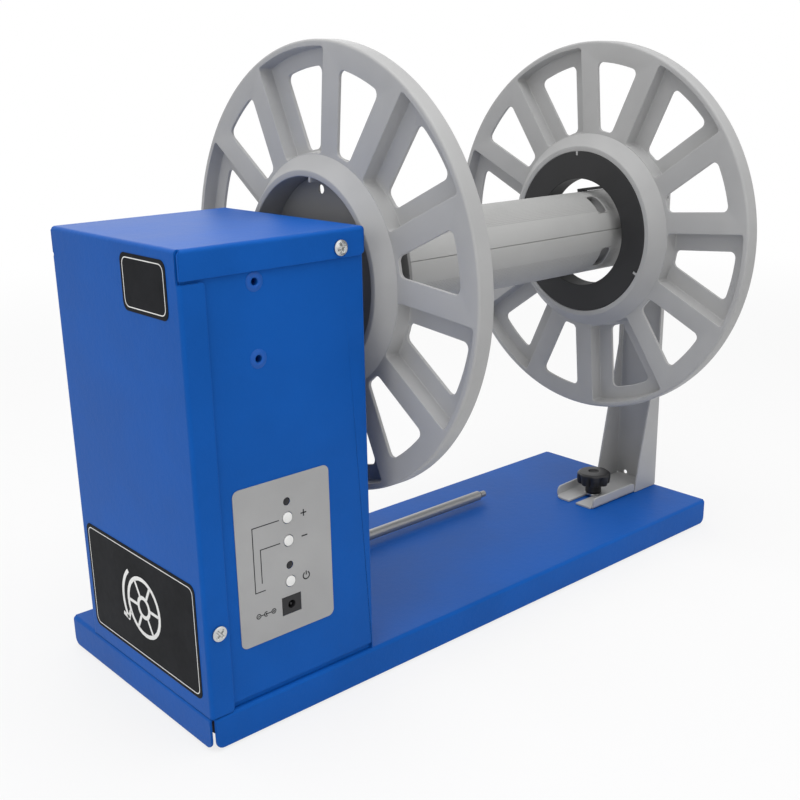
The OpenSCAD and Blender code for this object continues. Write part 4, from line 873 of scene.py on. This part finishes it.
def screwHead(radius, height, shank, length, spokes=56, rings=22):
    # Pan head round +Z with its underside at 0: a dome, a rolled edge and a cross recess whose depth
    # falls off along its arms; the shank is a plain rod below
    share = np.linspace(0, 1, rings)
    turn = np.linspace(0, 2 * pi, spokes, endpoint=False)
    dome = height * (1 - 0.42 * share ** 2.4)
    ways = np.stack([np.cos(turn), np.sin(turn)])
    across, along = abs(ways).min(0) * share[:, None], abs(ways).max(0) * share[:, None]
    arm = np.clip((recess["arm"] - across) / recess["armEdge"], 0, 1)
    arm = arm * np.clip((recess["reach"] - along) / recess["reachEdge"], 0, 1)
    depth = height * recess["deep"] * arm * (1 - 0.5 * along)
    top = np.stack([*(radius * share[:, None] * way for way in ways), dome[:, None] - depth], -1)
    wall = softCorners([(radius, height * 0.58), (radius, 0), (shank, 0), (shank, -length), (0, -length)],
                       [height * 0.12, 0, shank * 0.3], 3)
    side = np.stack([*(wall[:, :1] * way for way in ways), wall[:, 1:] * np.ones_like(turn)], -1)
    points = np.concatenate([top, side])
    return points, gridQuads(len(points), spokes, wrapColumns=True)


def solidBoxes(node):
    # Lowest and highest corners of each loose solid of a node, found by flooding along its welded faces
    shell = weldedShell(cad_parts[node].data)
    seen, found = set(), []
    for first in shell.verts:
        if first in seen:
            continue
        group, edge = [first], [first]
        seen.add(first)
        while edge:
            for line in edge.pop().link_edges:
                for corner in line.verts:
                    if corner not in seen:
                        seen.add(corner)
                        group.append(corner)
                        edge.append(corner)
        places = np.array([corner.co for corner in group])
        found.append((places.min(0), places.max(0)))
    shell.free()
    return found


def seated(node, shape, height, way=None, turns=(0,)):
    # A shape at each solid of a node, its head outwards along way, or to the near side of the housing
    parts = []
    for number, (low, high) in enumerate(solidBoxes(node)):
        outward = np.array(way or (0, -1 if low[1] + high[1] < 0 else 1, 0), float)
        seat = (low + high) / 2 + outward * (abs(outward) @ (high - low) / 2 - height * mm)
        turn = radians(turns[number % len(turns)])
        spin = np.array([[cos(turn), sin(turn), 0], [-sin(turn), cos(turn), 0], [0, 0, 1]])
        up = (0, 0, 1) if abs(outward[2]) < 0.5 else (0, 1, 0)
        parts.append(placed((shape[0].reshape(-1, 3) @ spin * mm, shape[1]), seat, outward, up))
    return joined(parts)


screws = {
    "coverScrews": ("cover_screws", "frame", None, "cover"),
    "chassisScrews": ("chassis_screws", "frame", (0, 0, -1), "chassis"),
    "motorScrews": ("motor_screws", "frame", (1, 0, 0), "motor"),
    "blockScrews": ("block_screws", "frame", (1, 0, 0), "block"),
    "hubScrews": ("hub_screws", "reel", (1, 0, 0), "hub"),
    "carrierScrews": ("carrier_screws", "outer_flange_set", (1, 0, 0), "hub"),
}
for name, (node, body, way, kind) in screws.items():
    heads = seated(node, screwHead(*screwSizes[kind]), screwSizes[kind][1], way, (20, 67, 41, 8, 83, 52))
    makePiece(name, heads, "zincPlate", body, (node,), 42.0)


def rivetShape():
    # Blind rivet round Z: domed flange, open bore and shank, one closed profile
    r = rivet
    high, shank, length = r["high"], r["shank"], r["length"]
    line = softCorners([(high * 0.4, r["bore"]), (high, r["lip"]), (high * 0.9, r["dome"]),
                        (high * 0.3, r["brim"]), (0, r["head"]), (0, shank), (-length, shank),
                        (-length, r["bore"]), (high * 0.4, r["bore"])],
                       [0.3, 0.8, 0.5, 0.1, 0.0, 0.3, 0.2], 3)
    points, quads = turned(line[:-1], 40, (0, 0))
    return points[..., [1, 2, 0]], quads


makePiece("bracketRivets", seated("bracket_rivets", rivetShape(), rivet["high"]), "blueGloss", "frame",
          ("bracket_rivets",), 40.0)
print("screws and rivets set")


# Clamp knob
knob = {"lobes": 8, "reach": 17.5, "dip": 3.6, "dipFrom": 9.8, "dipFull": 4.0, "neck": 8.5, "stud": 3.0,
        "recess": 4.8, "spin": 11.0, "neckLow": 31.3, "headLow": 41.3}


def makeKnob():
    # Profile of (radius, height) carried round Z. Finger scallops are cut between the lobes:
    # radius - dip * (1 - |cos(lobes / 2 * turn)| ** 0.8), full below and running out under the top rim
    k = knob
    low, high = nodeBox("clamp_knob")
    base, top, headLow = low[2] / mm, high[2] / mm, k["headLow"]
    neck, reach = k["neck"], k["reach"]
    outline = softCorners([(0, base), (k["stud"], base), (k["stud"], k["neckLow"]), (neck, k["neckLow"]),
                           (neck * 0.94, headLow), (reach - 0.8, headLow), (reach, headLow + 6),
                           (reach - 0.3, top - 2.0), (reach - 2.6, top - 0.3), (k["recess"] + 1, top),
                           (k["recess"], top - 1.6), (0, top - 1.8)],
                          [0.6, 0.2, 0.9, 0.8, 0.9, 2.0, 1.4, 1.8, 0.8, 0.5], 5)
    turn = np.linspace(0, 2 * pi, 128, endpoint=False) + radians(k["spin"])
    height = outline[:, 1]
    share = np.clip((outline[:, 0] - k["dipFrom"]) / k["dipFull"], 0, 1) * (height > headLow - 0.5)
    share = share * np.clip((top - 1.2 - height) / 5.0, 0.12, 1)
    radius = outline[:, :1] - share[:, None] * k["dip"] * (1 - abs(np.cos(turn * k["lobes"] / 2)) ** 0.8)
    points = np.stack([radius * np.cos(turn), radius * np.sin(turn), outline[:, 1:] + 0 * turn], -1)
    points = points * mm + (low + high) / 2 * [1, 1, 0]
    quads = gridQuads(*points.shape[:2], wrapColumns=True)
    return makePiece("knobBody", (points, quads), "knobBlack", "knob", ("clamp_knob",), 50.0)


makeKnob()


# Grips in the core tube
grips = {"turns": (39.0, -57.0, -141.0, 123.0), "seams": (81.0, -99.0), "half": 16.4, "rise": 38.05,
         "inset": 0.1, "corner": 3.4, "wall": 0.7, "sink": 1.3, "dip": 5.0, "under": 34.5, "skin": 1.2,
         "stem": 3.0, "foot": 21.0}


def makeGrip(number, turn):
    # A pad whose top is flush round its slot and sunk inside a rounded outline, on a stem. The sunk part
    # dips away from the tube's seam and towards the reel: sink + dip * share ** 1.6 * (0.35 .. 1)
    g = grips
    low, high = nodeBox(f"grip_{number}")
    middle, reach = (low[0] + high[0]) / 2 / mm, (high[0] - low[0]) / 2 / mm
    seam = min(g["seams"], key=lambda place: abs(turn - place))
    way = 1 if turn > seam else -1
    share, across = np.meshgrid(np.linspace(0, 1, 57), np.linspace(-1, 1, 33), indexing="ij")
    angle = way * (share * 2 - 1) * g["half"]
    reachRound = radians(g["half"]) * g["rise"]
    off = np.stack([(abs(share * 2 - 1) - 1) * reachRound, (abs(across) - 1) * reach], -1)
    edge = np.linalg.norm(np.clip(off + g["inset"] + g["corner"], 0, None), axis=-1) - g["corner"]
    wall = np.clip(-edge / g["wall"], 0, 1)
    depth = g["sink"] + g["dip"] * share ** 1.6 * (0.35 + 0.65 * (1 - across) / 2)
    top = g["rise"] - wall * wall * (3 - 2 * wall) * depth
    under = np.minimum(top - g["skin"], g["under"])
    rise = np.concatenate([top, under[:, ::-1]], 1)
    flat = middle + reach * np.concatenate([across, across[:, ::-1]], 1)
    aim = np.radians(np.concatenate([angle, angle], 1) + turn)
    pad = np.stack([flat, -np.sin(aim) * rise, np.cos(aim) * rise], -1)
    rows, columns = rise.shape
    quads = gridQuads(rows, columns, wrapColumns=True)
    step = np.arange(columns // 2 - 1)
    cap = np.stack([step, step + 1, columns - 2 - step, columns - 1 - step], -1)
    quads = np.concatenate([quads, cap[:, ::-1], cap + (rows - 1) * columns])
    aim = radians(turn)
    out, side = np.array([0, -sin(aim), cos(aim)]), np.array([0, -cos(aim), -sin(aim)])
    stem = [np.array([middle + 4 * i, 0, 0]) + side * g["stem"] * j + out * height
            for height in (g["foot"], g["under"]) for i, j in ((-1, -1), (1, -1), (1, 1), (-1, 1))]
    box = np.array([[0, 1, 2, 3], [7, 6, 5, 4], [0, 4, 5, 1], [1, 5, 6, 2], [2, 6, 7, 3], [3, 7, 4, 0]])
    points, quads = joined([(pad, quads), (np.array(stem), box)])
    makePiece(f"gripPad{number}", (points * mm + [0, 0, reelAxis], quads), "gripShadedGrey", f"grip_{number}",
              (f"grip_{number}",), 60.0)


for number, turn in enumerate(grips["turns"], 1):
    makeGrip(number, turn)


# Machined and moulded small parts
smallParts = {
    "chuck_core": ("coreGrey", "reel", 0.3),
    "shell_upper": ("tubeGrey", "reel", 0.3),
    "shell_lower": ("tubeGrey", "reel", 0.3),
    "lock_cam": ("partBlack", "lock", 0.25),
    "end_plug": ("plugGrey", "reel", 0.3),
    "hub_plate": ("hubGrey", "reel", 0.4),
    "adapter_ring": ("ringBlack", "outer_flange_set", 0.5),
    "carrier_bar": ("blackCoat", "outer_flange_set", 0.6),
    "upright_bushing": ("partBlack", "upright", 0.3),
    "clamp_washer": ("zincPlate", "washer", 0.15),
    "base_nut": ("zincPlate", "frame", 0.3),
    "rubber_feet": ("footRubber", "frame", 0.8),
    "dancer_arm": ("bracketSteel", "dancer", 0.35),
    "dancer_rod": ("satinSteel", "dancer", 0.25),
    "arm_stop": ("footRubber", "frame", 0.5),
    "arm_bushing": ("bronze", "frame", 0.25),
    "drive_shaft": ("drawnSteel", "reel", 0.5),
    "control_panel": ("panelGrey", "frame", 0.12),
    "dc_inlet": ("partBlack", "frame", 0.3),
    "label_upper": ("labelBlack", "frame", 0.1),
    "label_lower": ("labelBlack", "frame", 0.1),
    "motor_bracket": ("bracketSteel", "frame", 0.3),
    "bearing_block": ("castAlloy", "frame", 0.5),
}
for node, (coat, body, edge) in smallParts.items():
    dressed(node, coat, body, edge)
print("small parts dressed:", len(smallParts))


def cap(low, high, radius, crown, edge):
    # Button or lens round Y that fills a box: crowned face at the front, round edge
    centre, length = (low + high) / 2, (high - low)[1] / mm
    line = softCorners([(0, 0), (-crown, radius), (-length, radius), (-length, 0)], [edge, 0.2], 4)
    points, quads = turned(line, 48, (0, 0), closed=False)
    points = points[..., [1, 0, 2]].reshape(-1, 3) * [1, -1, 1] * mm
    return points + [centre[0], low[1], centre[2]], quads


for number in (1, 2, 3):
    node = f"button_{number}"
    surface = cap(*nodeBox(node), *button.values())
    makePiece(f"buttonCap{number}", surface, "buttonWhite", node, (node,), 40.0)
lenses = [cap(*solid, 3.0, 0.5, 0.6) for solid in solidBoxes("led_lenses")]
makePiece("indicatorLenses", joined(lenses), "lens", "frame", ("led_lenses",), 40.0)

plain = {
    "motor": "drawnSteel", "gearbox": "castAlloy", "gearbox_shaft": "drawnSteel",
    "coupling_motor_half": "castAlloy", "coupling_shaft_half": "castAlloy",
    "coupling_spider": "spiderRubber", "shaft_bearings": "drawnSteel", "retaining_rings": "drawnSteel",
    "pivot_shaft": "drawnSteel", "angle_sensor": "sensorGreen", "circuit_board": "boardGreen",
    "board_spacers": "zincPlate", "key_switches": "partBlack",
}
for node, coat in plain.items():
    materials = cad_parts[node].data.materials
    for index in range(len(materials)):
        materials[index] = paint[coat]
print("inner parts painted:", len(plain))


# Panel and label printing
printed = {"line": 0.75, "high": 0.03, "bold": 1.0, "outer": 14.0, "inner": 20.0, "from": 7.5,
           "to": 22.0, "inletTo": 6.0, "signs": 14.0, "sign": 2.6, "power": 2.8, "polarity": 22.5,
           "plugs": 6.5, "plug": 1.7, "pin": 0.45, "pole": 0.8}


def inkStrip(line, width, face, closed=False):
    # A line of (x, z) points in millimetres as a thin raised strip on the panel's face: each point is
    # moved half a width to both sides, along the mean of its neighbours' normals
    line = np.array(line, float)
    before = np.roll(line, 1, 0) if closed else np.concatenate([2 * line[:1] - line[1:2], line[:-1]])
    after = np.roll(line, -1, 0) if closed else np.concatenate([line[1:], 2 * line[-1:] - line[-2:-1]])
    inWay = (line - before) / np.linalg.norm(line - before, axis=1)[:, None]
    outWay = (after - line) / np.linalg.norm(after - line, axis=1)[:, None]
    side = np.stack([-(inWay + outWay)[:, 1], (inWay + outWay)[:, 0]], -1)
    side = side / np.linalg.norm(side, axis=1)[:, None]
    stretch = 1 / np.clip(abs(side[:, 0] * -inWay[:, 1] + side[:, 1] * inWay[:, 0]), 0.5, 1)
    left, right = line + side * (width / 2 * stretch)[:, None], line - side * (width / 2 * stretch)[:, None]
    back, front = face + printed["high"], face - printed["high"]
    points = np.stack([np.stack([corner[:, 0], np.full(len(line), depth), corner[:, 1]], -1)
                       for corner, depth in ((left, back), (left, front), (right, front), (right, back))], 1)
    quads = gridQuads(len(line), 4, wrapRows=closed, wrapColumns=True)
    if not closed:
        last = 4 * (len(line) - 1)
        quads = np.concatenate([quads, [[3, 2, 1, 0], [last, last + 1, last + 2, last + 3]]])
    return points * mm, quads


def circleLine(x, z, radius, start=0.0, end=360.0, count=28):
    turn = np.radians(np.linspace(start, end, count, endpoint=abs(end - start) < 360))
    return np.stack([x + radius * np.cos(turn), z + radius * np.sin(turn)], -1)


def panelPrint():
    # Two brackets from the button rows, plus, minus and power signs, and the inlet's polarity sign
    p = printed
    left, face = nodeBox("control_panel")[0][:2] / mm
    column = nodeBox("button_1")[0][0] / mm + button["radius"]
    high, middle, foot = (nodeBox(f"button_{number}")[0][2] / mm + button["radius"] for number in (1, 2, 3))
    inlet = sum(nodeBox("dc_inlet"))[2] / 2 / mm
    outer, inner, start = left + p["outer"], left + p["inner"], column - p["from"]
    mark, sign = column + p["signs"], p["sign"]
    cup, pole = p["plug"], p["pole"]
    minus, pin, plus = (column - p["polarity"] + p["plugs"] * step for step in (-1, 0, 1))
    thin = [[(start, high), (outer, high), (outer, foot), (column - p["to"], foot)],
            [(start, middle), (inner, middle), (inner, foot + p["inletTo"])],
            circleLine(pin, inlet, cup, 60, 300), [(minus + cup, inlet), (pin - cup, inlet)],
            [(pin + 0.5, inlet), (plus - cup, inlet)], [(minus - pole, inlet), (minus + pole, inlet)],
            [(plus - pole, inlet), (plus + pole, inlet)], [(plus, inlet - pole), (plus, inlet + pole)]]
    bold = [[(mark - sign, high), (mark + sign, high)], [(mark, high - sign), (mark, high + sign)],
            [(mark - sign, middle), (mark + sign, middle)], circleLine(mark, foot, p["power"], 120, 420),
            [(mark, foot + 0.4), (mark, foot + 3.6)]]
    rings = [circleLine(minus, inlet, cup), circleLine(pin, inlet, p["pin"]), circleLine(plus, inlet, cup)]
    strips = [inkStrip(line, p["line"], face) for line in thin]
    strips += [inkStrip(line, p["bold"], face) for line in bold]
    strips += [inkStrip(line, p["line"], face, True) for line in rings]
    return makePiece("panelSigns", joined(strips), "ink", "frame", (), 30.0, 1e-7)


def roundedBox(left, right, foot, top, corner):
    # Closed outline with round corners, anticlockwise from the lower right corner
    centres = ((right - corner, foot + corner, 270), (right - corner, top - corner, 0),
               (left + corner, top - corner, 90), (left + corner, foot + corner, 180))
    return np.concatenate([circleLine(x, z, corner, start, start + 90, 6) for x, z, start in centres])


reelSign = {"inset": 3.0, "corner": 5.0, "key": 0.7, "aside": 4.0, "rings": (23.0, 8.0), "bold": 3.2,
            "spoke": 2.6, "spokes": 6, "spokeFrom": 9.4, "spokeTo": 21.6, "arrow": 31.0}


def labelPrint():
    # Plain reel sign with a winding arrow, and a keyline round each end label. Drawn as on the front, then
    # turned a quarter about Z: (x, y) becomes (y, -x)
    r = reelSign
    strips, inset = [], r["inset"]
    for node in ("label_upper", "label_lower"):
        low, high = nodeBox(node)
        face, left, right, foot, top = low[0] / mm, -high[1] / mm, -low[1] / mm, low[2] / mm, high[2] / mm
        keyline = roundedBox(left + inset, right - inset, foot + inset, top - inset, r["corner"])
        strips.append(inkStrip(keyline, r["key"], face, True))
    x, z = (left + right) / 2 + r["aside"], (foot + top) / 2
    strips += [inkStrip(circleLine(x, z, radius), r["bold"], face, True) for radius in r["rings"]]
    ends = [circleLine(x, z, radius, count=r["spokes"]) for radius in (r["spokeFrom"], r["spokeTo"])]
    strips += [inkStrip(spoke, r["spoke"], face) for spoke in zip(*ends)]
    strips += [inkStrip(circleLine(x, z, r["arrow"], 130, 215), r["bold"], face),
               inkStrip([(x - 33.2, z - 15.6), (x - 25.4, z - 17.6), (x - 21.8, z - 10.4)], r["bold"], face)]
    points, quads = joined(strips)
    return makePiece("labelSigns", (points[..., [1, 0, 2]] * [1, -1, 1], quads), "inkPale", "frame", (),
                     30.0, 1e-7)


panelPrint()
labelPrint()
print("panel and labels printed")


# Studio
studio = {"floorTone": 0.72, "glowNear": 0.78, "near": 0.9, "far": 2.2, "world": 0.66, "half": 8.0,
          "tiles": 8, "target": (0.0, 0.0, 0.2)}
lights = {
    "Top light": ((-0.2, -0.3, 1.9), (1.6, 1.6), 24.0),
    "Front light": ((0.5, -1.9, 0.9), (1.6, 1.2), 3.0),
    "Left light": ((-2.0, -0.5, 0.8), (1.4, 1.2), 8.0),
    "Back light": ((0.8, 1.7, 1.2), (1.4, 1.0), 4.5),
}


def makeFloor():
    # A wide pale floor that reads white to the camera and to reflections, and still takes the shadow
    s = studio
    x, y = np.meshgrid(*[np.linspace(-s["half"], s["half"], s["tiles"] + 1)] * 2, indexing="ij")
    mesh = bpy.data.meshes.new("Floor")
    mesh.from_pydata(np.stack([x, y, 0 * x], -1).reshape(-1, 3).tolist(), [], gridQuads(*x.shape).tolist())
    floor = bpy.data.objects.new("Floor", mesh)
    bpy.context.scene.collection.objects.link(floor)
    pale = Finish("Pale floor", Base_Color=(s["floorTone"],) * 3, Roughness=0.9)
    white = pale.add("ShaderNodeEmission", None, {"Color": (1, 1, 1), "Strength": 1.0})
    rays = [pale.add("ShaderNodeLightPath", out=f"Is {kind} Ray")
            for kind in ("Camera", "Glossy", "Transmission")]
    seen = pale.maths("MINIMUM", rays[0] + rays[1] + rays[2], 1.0)
    away = pale.vector("LENGTH", pale.place, out="Value")
    glow = pale.between(pale.step(away, s["near"], s["far"]), s["glowNear"], 1.0)
    lit = Wire(pale, pale.shader.outputs[0])
    pale.plug(pale.output, pale.add("ShaderNodeMixShader", None, {0: seen * glow, 1: lit, 2: white}))
    mesh.materials.append(pale.material)


def makeWorld():
    # White to the eye, and dimmer as a light on rough surfaces
    world = bpy.data.worlds.new("Studio")
    bpy.context.scene.world = world
    sky = Shading(world)
    ambient, white = (sky.add("ShaderNodeBackground", None, {0: (1, 1, 1), 1: power})
                      for power in (studio["world"], 1.0))
    straight = 1.0 - sky.add("ShaderNodeLightPath", out="Is Diffuse Ray")
    mix = sky.add("ShaderNodeMixShader", None, {0: straight, 1: ambient, 2: white})
    sky.plug(sky.tree.nodes.new("ShaderNodeOutputWorld").inputs[0], mix)


def softLight(name, place, size, power):
    lamp = bpy.data.lights.new(name, "AREA")
    lamp.shape = "RECTANGLE"
    lamp.size, lamp.size_y = size
    lamp.energy = power
    light = bpy.data.objects.new(name, lamp)
    aim = (Vector(studio["target"]) - Vector(place)).to_track_quat("-Z", "Y")
    light.matrix_world = Matrix.Translation(place) @ aim.to_matrix().to_4x4()
    bpy.context.scene.collection.objects.link(light)


def makeCamera():
    # Looks from azimuth and elevation: back is the way from the object to the camera
    turn, rise, roll = (radians(camera[key]) for key in ("azimuth", "elevation", "roll"))
    back = Vector((sin(turn) * cos(rise), -cos(turn) * cos(rise), sin(rise)))
    right = Vector((cos(turn), sin(turn), 0))
    up = back.cross(right)
    across = right * cos(roll) + up * sin(roll)
    over = up * cos(roll) - right * sin(roll)
    lens = bpy.data.cameras.new("Camera")
    lens.lens = camera["lens"]
    lens.sensor_width = camera["sensor"]
    lens.shift_x, lens.shift_y = camera["shift"]
    lens.clip_start = 0.05
    view = bpy.data.objects.new("Camera", lens)
    aim = Matrix((across, over, back)).transposed().to_4x4()
    view.matrix_world = Matrix.Translation(camera["place"]) @ aim
    bpy.context.scene.collection.objects.link(view)
    bpy.context.scene.camera = view


makeFloor()
makeWorld()
for name, (place, size, power) in lights.items():
    softLight(name, place, size, power)
makeCamera()
bpy.context.scene.view_settings.view_transform = "Standard"

bpy.context.view_layer.update()
